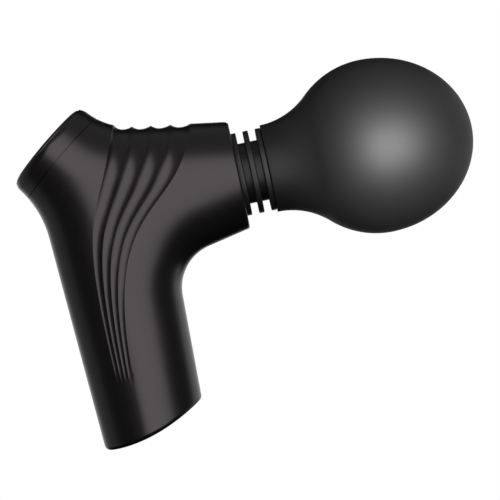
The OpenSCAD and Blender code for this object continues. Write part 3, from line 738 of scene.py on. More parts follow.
@dataclass
class Housing:
    """Fluted Y-shaped housing: two shells and a rear cap.

    Attributes:
        ridge_sides: For the first and last ridge, its place on the grip and two points that shape its sweep.
        flute_depth: Depth of a flute as a share of its width.
        flute_deep: Place of its deepest line as a share of its width.
        flute_swell: Share by which the flutes deepen towards the top.
        inlet_cut: Ends of the inlet's slot, measured up from the foot.
        lip_back: Distance by which the lip under the seam stays inside both ends.
        skirt_gap: Room round the button's skirt in the rear cap.
        lap: Length by which a cutting tool stands out of what it cuts.
        crease: Angle from which an edge of the shells stays crisp.
        probe: Step over which the slope of the skin is measured.
        least: Least length of a measured normal.
        meet: Half thickness below which both sides share a point.
        skin_counts: Columns round an end, along a top edge and in the flutes, and rows, of the outer skin.
        plain_counts: The same for the inner solids.
    """

    barrel_z: float = 62
    nose_x: float = 54.6
    nose_r: float = 21.7
    grip_w: float = 44.2
    back_lean: float = 3
    front_lean: float = 1.5
    top_rise: float = 9.2
    throat_fall: float = 11.5
    top_r: float = 27
    top_bend_x: float = 16.5
    back_r: float = 40
    back_bend_z: float = 53
    throat_r: float = 18
    rear_angle: float = 127.6
    rear_reach: float = 33
    rear_mid: float = 2.5
    rear_r: float = 20.5
    seam_reach: float = 24.4
    seam_gap: float = 0.36
    seam_depth: float = 0.8
    rear_round: float = 3.6
    foot_r: float = 88
    foot_z: float = -34.8
    foot_x: float = -22.3
    foot_rise: float = 12
    foot_round: float = 2.2
    nose_round: float = 0.8
    wall: float = 2.4
    cap_t: float = 2.6
    nose_t: float = 3
    blend: float = 1.15
    flute_count: int = 4
    flute_depth: float = 0.12
    flute_deep: float = 0.44
    flute_swell: float = 0.35
    swell_z: float = 45
    swell_h: float = 35
    flute_end_z: float = -10.5
    fade_h: float = 8
    ridge_tops: Pair = (9.7, 39.8)
    flute_crowd: float = 1.05
    ridge_sides: tuple[tuple[float, Pair, Pair], ...] = (
        (-9.2, (-12, 66.5), (-2.3, 51.5)), (-2.8, (-1.7, 67.5), (29.7, 47.5)))
    ridge_pace: float = 1.4
    straight_share: float = 0.16
    fan: float = 70
    nose_hole_r: float = 17.3
    parting_gap: float = 0.07
    bosses: tuple[Pair, ...] = (
        (-13, -27.5), (-16.8, 3), (16.6, 3), (42.5, 79.4), (42.5, 44.6), (-21.5, 60), (10, 85.5))
    well_r: float = 2.1
    well_wall: float = 0.8
    well_l: float = 40
    boss_l: float = 24
    shank_hole_r: float = 1.1
    head_seat_y: float = 6
    inlet_x: float = -3
    inlet_size: Pair = (9.6, 3.8)
    inlet_cut: Pair = (-5, 8)
    seat_gap: float = 0.02
    seat_l: float = 8
    skirt_hole_l: float = 20
    skirt_gap: float = 1
    lip_back: float = 1
    lap: float = 1
    crease: float = 14
    probe: float = 0.05
    least: float = 0.01
    meet: float = 1e-4
    skin_counts: Counts = (40, 12, 64, 150)
    plain_counts: Counts = (16, 5, 12, 48)
    fillets: list[Fillet] = field(default_factory=list)

    def __post_init__(self) -> None:
        """Work out the three concave stretches of the side view."""
        self.hub = np.array([0, self.barrel_z])
        self.rear_n = heading(self.rear_angle)
        self.rear_t = np.array([self.rear_n[1], -self.rear_n[0]])
        lean = math.tan(math.radians(self.back_lean))
        back_at = np.array([-self.grip_w / 2 - self.back_bend_z * lean, self.back_bend_z])
        rise = math.tan(math.radians(self.top_rise))
        bend_z = self.barrel_z + self.nose_r + (self.nose_x - self.top_bend_x) * rise
        top_at = np.array([self.top_bend_x, bend_z])
        top_in = 270 - self.top_rise
        low, high = 90 + self.throat_fall, 180 - self.front_lean
        u = np.array([self.nose_x, self.barrel_z - self.nose_r]) @ heading(low)
        v = np.array([self.grip_w / 2, 0]) @ heading(high)
        corner = np.linalg.solve(np.array([heading(low), heading(high)]), np.array([u, v]))
        back_off = self.throat_r / math.cos(math.radians(high - low) / 2)
        self.fillets = [
            Fillet(back_at - self.back_r * heading(self.back_lean), self.back_r, self.back_lean,
                   self.back_lean + self.fan),
            Fillet(top_at - self.top_r * heading(top_in), self.top_r, top_in - self.fan, top_in),
            Fillet(corner - back_off * heading((low + high) / 2), self.throat_r, low, high)]

    def along_rear(self, reach: float) -> Matrix:
        """Frame on the rear limb's axis, with Z outwards."""
        at = self.hub + self.rear_mid * self.rear_t + reach * self.rear_n
        return Matrix.Translation((at[0], 0, at[1])) @ turned(90 - self.rear_angle, "Y")

    def along_barrel(self, x: float) -> Matrix:
        """Frame on the barrel's axis, with Z towards the ball."""
        return Matrix.Translation((x, 0, self.barrel_z)) @ turned(90, "Y")

    def along_screw(self, x: float, y: float, z: float) -> Matrix:
        """Frame on a screw's axis, with Z out of the left shell."""
        return Matrix.Translation((x, y, z)) @ turned(-90, "X")

    def thick2(self, p: np.ndarray, inset: float) -> np.ndarray:
        """Square of the half thickness at points of the side view.

        Args:
            p: The points.
            inset: Distance by which the body is drawn in.

        Returns:
            The square at each point.
        """
        r = self.nose_r - inset
        reach = self.blend * r

        def swell(d: np.ndarray | float) -> np.ndarray:
            """Rounding from an edge inwards."""
            t = np.asarray(d) / reach
            return np.where(t > 1, 1, t * (2 - t))

        out = (r / swell(r)) ** 2
        for fillet in self.fillets:
            out = out * swell(fillet.depth(p, inset))
        return out

    def back_x(self, z: np.ndarray, inset: float) -> np.ndarray:
        """Back edge of the grip and the hollow above it.

        Args:
            z: Heights.
            inset: Distance by which the body is drawn in.

        Returns:
            Place of the edge at each height.
        """
        f = self.fillets[0]
        r = self.back_r + inset
        lean = math.radians(self.back_lean)
        line = -self.grip_w / 2 - z * math.tan(lean) + inset / math.cos(lean)
        arc = f.centre[0] + np.sqrt(np.maximum(r * r - (z - f.centre[1]) ** 2, 0))
        return np.where(z < f.centre[1] + r * math.sin(lean), line, arc)

    def top_z(self, x: np.ndarray, inset: float) -> np.ndarray:
        """Top edge of the barrel and the hollow behind it.

        Args:
            x: Places along the body.
            inset: Distance by which the body is drawn in.

        Returns:
            Height of the edge at each place.
        """
        f = self.fillets[1]
        r = self.top_r + inset
        rise = math.radians(self.top_rise)
        line = self.barrel_z + self.nose_r + (self.nose_x - x) * math.tan(rise) - inset / math.cos(rise)
        arc = f.centre[1] - np.sqrt(np.maximum(r * r - (x - f.centre[0]) ** 2, 0))
        return np.where(x > f.centre[0] + r * math.cos(math.radians(f.high)), line, arc)

    def foot_at(self, x: np.ndarray, inset: float) -> np.ndarray:
        """Curve of the foot."""
        r = self.foot_r - inset
        return self.foot_z + self.foot_r - np.sqrt(np.maximum(r * r - (x - self.foot_x) ** 2, 0))

    def rear_hit(self, fillet: Fillet, inset: float, reach: float, side: int) -> np.ndarray:
        """Corner where the rear face meets a concave stretch.

        Args:
            fillet: The stretch.
            inset: Distance by which the body is drawn in.
            reach: Reach of the rear limb.
            side: 1 for the lower corner, -1 for the upper one.

        Returns:
            The corner.
        """
        start = self.hub + reach * self.rear_n
        q = start - fillet.centre
        b = q @ self.rear_t
        return start + self.rear_t * (-b + side * math.sqrt(b * b - q @ q + (fillet.radius + inset) ** 2))

    def front_edge(self, t: np.ndarray, inset: float, end_x: float) -> np.ndarray:
        """Front edge from the foot round the throat to the nose.

        Args:
            t: Shares of its length.
            inset: Distance by which the body is drawn in.
            end_x: Place of the nose.

        Returns:
            A point for each share.
        """
        f = self.fillets[2]
        r = f.radius + inset
        lean = math.radians(self.front_lean)
        low_x = self.grip_w / 2 - inset / math.cos(lean) + (self.foot_z + self.foot_rise) * math.tan(lean)
        start = np.array([low_x, float(self.foot_at(low_x, inset))])
        a, b = f.centre + r * heading(f.high), f.centre + r * heading(f.low)
        e = np.array([end_x, b[1] + (end_x - b[0]) * math.tan(math.radians(self.throat_fall))])
        turn = f.high - f.low
        l1, l2, l3 = np.linalg.norm(a - start), r * math.radians(turn), np.linalg.norm(e - b)
        s = t * (l1 + l2 + l3)
        angle = np.radians(f.high - np.clip((s - l1) / l2, 0, 1) * turn)
        arc = f.centre + r * np.stack([np.cos(angle), np.sin(angle)], -1)
        out = np.where(outer(s < l1), mix(start, a, outer(s / l1)), arc)
        return np.where(outer(s > l1 + l2), mix(b, e, outer((s - l1 - l2) / l3)), out)

    def ridge(self, number: int, t: np.ndarray, inset: float) -> np.ndarray:
        """Ridge beside the flutes: a straight run from the foot, then a sweep to the top edge.

        Args:
            number: 0 for the first ridge, 1 for the last.
            t: Shares of its way up.
            inset: Distance by which the body is drawn in.

        Returns:
            A point for each share.
        """
        side, end = self.ridge_sides[number], self.ridge_tops[number]
        foot = np.array([side[0], float(self.foot_at(side[0], inset))])
        p = [np.array(q, float) for q in ((side[0], self.flute_end_z), side[1], side[2],
                                         (end, float(self.top_z(end, inset))))]
        k = outer(np.clip((t - self.straight_share) / (1 - self.straight_share), 0, 1) ** self.ridge_pace)
        sweep = ((1 - k) ** 3 * p[0] + 3 * (1 - k) ** 2 * k * p[1]
                 + 3 * (1 - k) * k * k * p[2] + k ** 3 * p[3])
        run = mix(foot, p[0], outer(t / self.straight_share))
        return np.where(outer(t < self.straight_share), run, sweep)

    @staticmethod
    def patch(left: np.ndarray, right: np.ndarray, foot_u: np.ndarray, top_u: np.ndarray,
              foot: Edge, top: Edge) -> np.ndarray:
        """Surface patch between four edges.

        Args:
            left: Points of the left edge from foot to top.
            right: Points of the right edge.
            foot_u: Column places along the foot.
            top_u: Column places along the top.
            foot: Foot edge as a function of the place.
            top: Top edge as a function of the place.

        Returns:
            Points in rows and columns.
        """
        v = ease(np.linspace(0, 1, len(left)))[:, None]
        u = mix(foot_u[None, :], top_u[None, :], v)
        w, k = outer(u), outer(v)
        across = mix(left[:, None], right[:, None], w)
        corners = mix(mix(left[0], right[0], w), mix(left[-1], right[-1], w), k)
        return across + mix(foot(u), top(u), k) - corners

    def side_grid(self, inset: float, reach: float, end_x: float, counts: Counts) -> np.ndarray:
        """Grid of points over the side view.

        Args:
            inset: Distance by which the body is drawn in.
            reach: Reach of the rear limb.
            end_x: Place of the nose.
            counts: Columns round an end, columns along a top edge, columns of the flutes, and rows.

        Returns:
            Points in rows from foot to top and columns from back to front.
        """
        round_n, edge_n, flute_n, row_n = counts
        steps = ease(np.linspace(0, 1, row_n + 1))
        low_z = float(self.foot_at(self.back_x(np.array(self.foot_z), inset), inset))
        rear_low = self.rear_hit(self.fillets[0], inset, reach, 1)
        rear_top = self.rear_hit(self.fillets[1], inset, reach, -1)
        z = mix(low_z, rear_low[1], steps)
        back = np.stack([self.back_x(z, inset), z], -1)
        one, five = self.ridge(0, steps, inset), self.ridge(1, steps, inset)
        front = self.front_edge(steps, inset, end_x)
        nose_top = np.array([end_x, float(self.top_z(end_x, inset))])
        sides = np.linspace(0, 1, round_n + edge_n + 1)
        flutes = np.linspace(0, 1, flute_n + 1)

        def foot_run(a: np.ndarray, b: np.ndarray) -> Edge:
            """Foot edge between two points."""
            def run(u: np.ndarray) -> np.ndarray:
                """Point at a place along it."""
                x = mix(a[0], b[0], u)
                return np.stack([x, self.foot_at(x, inset)], -1)
            return run

        def top_run(a: float, b: float, u: np.ndarray) -> np.ndarray:
            """Top edge between two places."""
            x = mix(a, b, u)
            return np.stack([x, self.top_z(x, inset)], -1)

        first, last = self.ridge_tops
        rear_w, nose_w = np.linalg.norm(rear_top - rear_low), np.linalg.norm(front[-1] - nose_top)
        rear_s = rear_w / (rear_w + np.linalg.norm(one[-1] - rear_top))
        nose_s = 1 - nose_w / (nose_w + np.linalg.norm(nose_top - five[-1]))
        rear_u = np.concatenate([rear_s * ease(np.linspace(0, 1, round_n + 1)),
                                 np.linspace(rear_s, 1, edge_n + 1)[1:]])
        nose_u = np.concatenate([np.linspace(0, nose_s, edge_n + 1),
                                 mix(nose_s, 1, ease(np.linspace(0, 1, round_n + 1)))[1:]])

        def rear_edge(u: np.ndarray) -> np.ndarray:
            """Rear face, then the top edge to the first ridge."""
            return np.where(outer(u < rear_s), mix(rear_low, rear_top, outer(u / rear_s)),
                            top_run(rear_top[0], first, (u - rear_s) / (1 - rear_s)))

        def nose_edge(u: np.ndarray) -> np.ndarray:
            """Top edge from the last ridge, then the nose."""
            return np.where(outer(u < nose_s), top_run(last, end_x, u / nose_s),
                            mix(nose_top, front[-1], outer((u - nose_s) / (1 - nose_s))))

        rear_foot, nose_foot = 1 - np.cos(np.pi / 2 * sides), np.sin(np.pi / 2 * sides)
        a = self.patch(back, one, rear_foot, rear_u, foot_run(back[0], one[0]), rear_edge)
        b = self.patch(one, five, flutes, flutes ** self.flute_crowd, foot_run(one[0], five[0]),
                       lambda u: top_run(first, last, u))
        c = self.patch(five, front, nose_foot, nose_u, foot_run(five[0], front[0]), nose_edge)
        return np.concatenate([a, b[:, 1:], c[:, 1:]], 1)

    def round_ends(self, p: np.ndarray) -> np.ndarray:
        """Draw points close to the foot, nose and rear rims towards those ends' axes.

        Args:
            p: Points of the skin.

        Returns:
            The moved points.
        """
        def draw_in(d: np.ndarray, rim: float, end: float) -> np.ndarray:
            """Factor at a distance from an end."""
            t = 1 - np.clip(d, 0, rim) / rim
            return 1 - rim / end * (1 - np.sqrt(np.maximum(1 - t * t, 0)))

        side = p[..., (0, 2)]
        kf = draw_in(p[..., 2] - self.foot_at(p[..., 0], 0), self.foot_round, self.grip_w / 2)
        kn = draw_in(self.nose_x - p[..., 0], self.nose_round, self.nose_r)
        q = side - self.hub
        n, s = q @ self.rear_n, q @ self.rear_t
        kr = draw_in(self.rear_reach - n, self.rear_round, self.rear_r)
        s = self.rear_mid + (s - self.rear_mid) * kr
        at = self.hub + outer(n) * self.rear_n + outer(s) * self.rear_t
        z = self.barrel_z + (at[..., 1] - self.barrel_z) * kn
        return np.stack([at[..., 0] * kf, p[..., 1] * kf * kn * kr, z], -1)

    def solid(self, name: str, inset: float, reach: float, end_x: float, counts: Counts,
              fluted: bool) -> bpy.types.Object:
        """Closed solid of the whole body, drawn in by an inset.

        Args:
            name: Object name.
            inset: Distance by which it is drawn in.
            reach: Reach of the rear limb.
            end_x: Place of the nose.
            counts: Columns round an end, along a top edge, in the flutes, and rows.
            fluted: True for the outer skin with flutes and round rims.

        Returns:
            The solid.
        """
        round_n, edge_n, flute_n, row_n = counts
        p = self.side_grid(inset, reach, end_x, counts)
        cols = p.shape[1]
        start = round_n + edge_n
        nose_first = start + flute_n + edge_n
        edge = np.zeros(p.shape[:2], bool)
        edge[:, 0] = edge[:, -1] = True
        edge[-1, round_n:nose_first + 1] = True
        y = np.where(edge, 0, -np.sqrt(np.maximum(self.thick2(p, inset), 0)))
        v = np.stack([p[..., 0], y, p[..., 1]], -1)
        if fluted:
            v = self.round_ends(self.carve(p, v, start, flute_n, inset, edge))
        near = v.reshape(-1, 3)
        far = near * (1, -1, 1)
        number = np.arange(len(near)).reshape(p.shape[:2])
        over = np.where(np.abs(v[..., 1]) < self.meet, number, number + len(near))
        faces = []
        for j in range(row_n):
            for i in range(cols - 1):
                faces.append((number[j, i], number[j, i + 1], number[j + 1, i + 1], number[j + 1, i]))
                faces.append((over[j, i], over[j + 1, i], over[j + 1, i + 1], over[j, i + 1]))
        for i in range(cols - 1):
            faces.append((number[0, i], over[0, i], over[0, i + 1], number[0, i + 1]))
            if i < round_n or i >= nose_first:
                faces.append((number[row_n, i], number[row_n, i + 1], over[row_n, i + 1], over[row_n, i]))
        unique = [tuple(dict.fromkeys(int(k) for k in f)) for f in faces]
        obj = mesh_object(name, np.concatenate([near, far]), [f for f in unique if len(f) > 2])
        with editing(obj):
            bpy.ops.mesh.delete_loose()
            bpy.ops.mesh.select_all(action="SELECT")
            bpy.ops.mesh.normals_make_consistent(inside=False)
        return obj

    def carve(self, p: np.ndarray, v: np.ndarray, start: int, flute_n: int, inset: float,
              edge: np.ndarray) -> np.ndarray:
        """Press the flutes into the skin, each a scallop between two crisp ridges, deeper towards the top.

        Args:
            p: Points of the side view.
            v: Points of the skin.
            start: Column of the first ridge.
            flute_n: Columns of the flutes.
            inset: Distance by which the body is drawn in.
            edge: True for points on the rim of the side view.

        Returns:
            The carved points.
        """
        h = self.probe
        slope = np.stack([self.thick2(p + (h, 0), inset) - self.thick2(p - (h, 0), inset),
                          self.thick2(p + (0, h), inset) - self.thick2(p - (0, h), inset)], -1) / (2 * h)
        normal = np.stack([-slope[..., 0] / 2, v[..., 1], -slope[..., 1] / 2], -1)
        normal /= np.maximum(np.linalg.norm(normal, axis=-1, keepdims=True), self.least)
        width = np.linalg.norm(p[:, start + flute_n] - p[:, start], axis=-1) / self.flute_count
        f = (np.arange(p.shape[1]) - start) / (flute_n / self.flute_count)
        inside = (f > 0) & (f < self.flute_count)
        f = np.where(inside, f % 1, 0)
        fade = np.clip((p[..., 1] - self.flute_end_z) / self.fade_h, 0, 1)
        fall, climb = f / self.flute_deep, (1 - f) / (1 - self.flute_deep)
        hollow = 1 - np.where(f < self.flute_deep, 1 - fall, 1 - climb) ** 2
        hollow = np.where(inside & (f > 0), hollow, 0)
        swell = 1 + self.flute_swell * np.clip((p[..., 1] - self.swell_z) / self.swell_h, 0, 1)
        depth = self.flute_depth * width[:, None] * hollow[None, :] * fade * swell
        out = v - outer(depth) * normal
        out[..., 1] = np.where(edge, 0, out[..., 1])
        return out

    def build(self) -> None:
        """Make the two shells and the rear cap."""
        skin = self.solid("skin", 0, self.rear_reach, self.nose_x, self.skin_counts, True)
        hollow = self.solid("hollow", self.wall, self.rear_reach - self.cap_t, self.nose_x - self.nose_t,
                            self.plain_counts, False)
        for side in Side:
            self.shell(side, skin, hollow)
        self.cap(skin, hollow)
        drop(skin, hollow)

    def shell(self, side: Side, skin: bpy.types.Object, hollow: bpy.types.Object) -> None:
        """One half of the housing, with its nose hole, inlet slot and, on the left, the screw bosses.

        Args:
            side: Which half.
            skin: Solid of the whole body.
            hollow: Solid of its inside.
        """
        node = f"{side.name.lower()}_shell"
        obj = copy_of(skin, f"{node}_skin")
        slice_off(obj, (0, side.value * self.parting_gap, 0), (0, -side.value, 0))
        seam = self.along_rear(self.seam_reach)
        slice_off(obj, seam.translation, seam.col[2].xyz)
        combine(obj, hollow, keep=True)
        combine(obj, rod("nose_hole", self.nose_hole_r, self.nose_t + 2 * self.lap,
                         self.along_barrel(self.nose_x - self.nose_t - self.lap), Facets.BALL))
        low, high = (self.foot_z + end for end in self.inlet_cut)
        combine(obj, stadium("slot", self.inlet_x, self.inlet_size, low, high))
        if side is Side.LEFT:
            for x, z in self.bosses:
                self.boss(obj, skin, x, z)
        smooth(obj, self.crease)
        finish_piece(obj, "housing", SATIN, [node])

    def boss(self, obj: bpy.types.Object, skin: bpy.types.Object, x: float, z: float) -> None:
        """Screw boss on the left shell: a tube from the parting plane to the skin, with the screw's seat.

        Args:
            obj: The shell.
            skin: Solid of the whole body.
            x: Place of the screw.
            z: Its height.
        """
        foot = self.along_screw(x, self.parting_gap, z)
        tube = rod("boss", self.well_r + self.well_wall, self.boss_l, foot, Facets.BOSS)
        combine(tube, skin, Shaping.TRIM, keep=True)
        combine(obj, tube, Shaping.ADD)
        seat = self.along_screw(x, self.head_seat_y, z)
        combine(obj, rod("well", self.well_r, self.well_l, seat, Facets.BOSS))
        low = self.along_screw(x, self.parting_gap - self.lap, z)
        combine(obj, rod("shank_hole", self.shank_hole_r, self.head_seat_y + 2 * self.lap, low, Facets.PIPE))

    def cap(self, skin: bpy.types.Object, hollow: bpy.types.Object) -> None:
        """Rear cap behind a fine seam, with the seat of the control panel.

        Args:
            skin: Solid of the whole body.
            hollow: Solid of its inside.
        """
        obj = copy_of(skin, "rear_cap_skin")
        edge = self.along_rear(self.seam_reach + self.seam_gap)
        slice_off(obj, edge.translation, -edge.col[2].xyz)
        lip = self.solid("lip", self.seam_depth, self.rear_reach - self.lip_back,
                         self.nose_x - self.lip_back, self.plain_counts, False)
        seam = self.along_rear(self.seam_reach)
        slice_off(lip, seam.translation, -seam.col[2].xyz)
        combine(obj, lip, Shaping.ADD)
        combine(obj, hollow, keep=True)
        seat = self.along_rear(self.rear_reach - ControlCap.panel_t)
        combine(obj, rod("seat", ControlCap.panel_r + self.seat_gap, self.seat_l, seat, Facets.DISC))
        hole_r = ControlCap.skirt_r + self.skirt_gap
        combine(obj, rod("skirt_hole", hole_r, self.skirt_hole_l, seam, Facets.BUTTON))
        smooth(obj)
        finish_piece(obj, "housing", SATIN, ["rear_cap"])


@dataclass
class ControlCap:
    """Gloss panel with the power button and the speed lights.

    Attributes:
        rim: Distance from the button's side and from its top of each point of its rim.
        dome: Share of the radius and distance from the top of each point of a light pipe's end.
    """

    house: Housing
    panel_r: float = 13
    panel_t: float = 1.6
    edge: float = 0.25
    gap: float = 0.3
    button_r: float = 5.7
    button_drop: float = 0.1
    skirt_r: float = 7
    skirt_low: float = -1.6
    skirt_top: float = -0.6
    stem_r: float = 2
    stem_end: float = -6.2
    dish: float = 0.35
    dish_rise: float = 0.8
    dish_steps: int = 8
    rim: tuple[Pair, ...] = ((0, 0.36), (0.07, 0.14), (0.25, 0.03), (0.5, 0.02))
    light_count: int = 5
    light_r: float = 0.9
    light_ring_r: float = 9.6
    light_step: float = 22
    light_end: float = -2.2
    dome: tuple[Pair, ...] = ((1, 0.12), (0.92, 0.05), (0.6, 0.01), (0, 0))
    crease: float = 40

    def spots(self) -> list[Matrix]:
        """Frames of the speed lights in the panel's seat.

        Returns:
            A frame for each light.
        """
        out = []
        for i in range(self.light_count):
            angle = 180 + (i - (self.light_count - 1) / 2) * self.light_step
            out.append(turned(angle, "Z") @ Matrix.Translation((self.light_ring_r, 0, 0)))
        return out

    def build(self) -> None:
        """Make the panel, the button and the light pipes."""
        seat = self.house.along_rear(self.house.rear_reach - self.panel_t)
        e, t = self.edge, self.panel_t
        hole = self.button_r + self.gap
        ring = [(hole, 0), (self.panel_r, 0), (self.panel_r, t - e), (self.panel_r - e, t), (hole + e, t),
                (hole, t - e)]
        disc = lathe("panel_disc", ring, seat, Facets.DISC, closed=True)
        lap = self.house.lap
        below = Matrix.Translation((0, 0, -lap))
        for spot in self.spots():
            combine(disc, rod("light_hole", self.light_r, t + 2 * lap, seat @ spot @ below, Facets.HOLE))
        smooth(disc)
        finish_piece(disc, "housing", PIANO, ["control_panel"])
        self.button(seat)
        self.lights(seat)

    def button(self, seat: Matrix) -> None:
        """Power button with a shallow dish and a soft rim.

        Args:
            seat: Frame of the panel's underside.
        """
        r, top = self.button_r, self.panel_t - self.button_drop
        profile = [(0, self.stem_end), (self.stem_r, self.stem_end), (self.stem_r, self.skirt_low),
                   (self.skirt_r, self.skirt_low), (self.skirt_r, self.skirt_top), (r, self.skirt_top)]
        profile += [(r - side, top - fall) for side, fall in self.rim]
        for k in reversed(range(self.dish_steps)):
            share = k / self.dish_steps
            profile.append((r * share, top - self.dish * (1 - self.dish_rise * share ** 2)))
        obj = lathe("power_button_cap", profile, seat, Facets.BUTTON)
        smooth(obj, self.crease)
        finish_piece(obj, "button", BUTTON_GREY, ["power_button"])

    def lights(self, seat: Matrix) -> None:
        """Light pipes with domed ends, flush with the panel.

        Args:
            seat: Frame of the panel's underside.
        """
        r, t = self.light_r, self.panel_t
        profile = [(0, self.light_end), (r, self.light_end)]
        profile += [(r * share, t - fall) for share, fall in self.dome]
        pipe = lathe("pipe", profile, Matrix.Identity(4), Facets.PIPE)
        obj = scatter("light_pipes", pipe, [seat @ spot for spot in self.spots()])
        smooth(obj, self.crease)
        finish_piece(obj, "housing", FROSTED, ["indicator_lights"])


@dataclass
class Head:
    """Pull-off head: finned stem and bulb-shaped ball."""

    house: Housing
    ball_x: float = 110.5
    ball_r: float = 35
    tip_reach: float = 39.1
    neck_r: float = 17.7
    fin_r: float = 16.7
    fin_t: float = 2.2
    fin_pitch: float = 5
    fin_count: int = 3
    core_r: float = 12.2
    plug_r: float = 6.45
    plug_l: float = 20
    spigot_r: float = 9
    spigot_l: float = 20
    ring_spots: Pair = (6, 13)
    ring_t: float = 0.9
    fin_edge: float = 0.35
    fin_lap: float = 0.2
    core_edge: float = 0.3
    plug_edge: float = 0.8
    neck_edge: float = 0.3
    neck_gap: float = 0.1
    rim_steps: int = 5
    hollow_steps: int = 40
    back_steps: int = 48
    front_steps: int = 72

    def __post_init__(self) -> None:
        """Places along the barrel."""
        self.fin_x = self.house.nose_x - self.fin_lap
        self.neck_x = self.fin_x + (self.fin_count - 1) * self.fin_pitch + self.fin_t + self.neck_gap

    def build(self) -> None:
        """Make the stem and the ball."""
        axis = self.house.along_barrel(0)
        stem = lathe("neck_stem", self.stem_profile(), axis, Facets.DISC)
        smooth(stem)
        finish_piece(stem, "head", STEM_BLACK, ["head_stem"])
        ball = lathe("ball_skin", self.ball_profile(), axis, Facets.BALL)
        smooth(ball)
        finish_piece(ball, "head", SOFT_GREY, ["massage_ball"])

    def stem_profile(self) -> list[Pair]:
        """Plug with ring grooves, three fins on a core, and the spigot in the ball.

        Returns:
            Radius and place along the barrel of each point.
        """
        back = self.fin_x - self.plug_l
        corners = [(0, back, 0), (self.plug_r, back, self.plug_edge)]
        for spot in self.ring_spots:
            groove = back + spot
            corners += [(self.plug_r, groove - self.ring_t, 0), (self.plug_r - self.ring_t, groove, 0),
                        (self.plug_r, groove + self.ring_t, 0)]
        corners.append((self.plug_r, self.fin_x, 0))
        for i in range(self.fin_count):
            x = self.fin_x + i * self.fin_pitch
            if i:
                corners.append((self.core_r, x, self.core_edge))
            corners += [(self.fin_r, x, self.fin_edge), (self.fin_r, x + self.fin_t, self.fin_edge),
                        (self.core_r, x + self.fin_t, self.core_edge)]
        end = self.neck_x + self.spigot_l
        corners += [(self.core_r, self.neck_x, 0), (self.spigot_r, self.neck_x, 0), (self.spigot_r, end, 0),
                    (0, end, 0)]
        return rounded(corners)

    def ball_profile(self) -> list[Pair]:
        """Bulb: a round back with a hollow neck, and a slightly longer front.

        Returns:
            Radius and place along the barrel of each point.
        """
        belt = np.array([0, self.ball_x])
        away = self.ball_x - self.neck_x
        hollow_r = (away ** 2 + self.neck_r ** 2 - self.ball_r ** 2) / (2 * (self.ball_r - self.neck_r))
        hollow = np.array([self.neck_r + hollow_r, self.neck_x])
        to_neck = hollow - belt
        join_angle = math.atan2(to_neck[1], to_neck[0])
        end = self.neck_x + self.spigot_l
        rim = self.neck_edge
        points = [(0.0, end), (self.spigot_r, end), (self.spigot_r, self.neck_x),
                  (self.neck_r - rim, self.neck_x)]
        corner = np.array([self.neck_r - rim, self.neck_x + rim])
        points += self.arc(corner, rim, -math.pi / 2, 0, self.rim_steps)[1:]
        start = math.pi - math.asin(rim / hollow_r)
        points += self.arc(hollow, hollow_r, start, join_angle + math.pi, self.hollow_steps)[1:]
        points += self.arc(belt, self.ball_r, join_angle, 0, self.back_steps)[1:]
        stretch = self.tip_reach / self.ball_r
        front = self.arc(np.zeros(2), self.ball_r, 0, math.pi / 2, self.front_steps)[1:]
        points += [(r, self.ball_x + x * stretch) for r, x in front[:-1]]
        points.append((0.0, self.ball_x + self.tip_reach))
        return points

    @staticmethod
    def arc(centre: np.ndarray, radius: float, a: float, b: float, steps: int) -> list[Pair]:
        """Points of an arc between two angles."""
        return [(float(centre[0] + radius * math.cos(t)), float(centre[1] + radius * math.sin(t)))
                for t in np.linspace(a, b, steps + 1)]


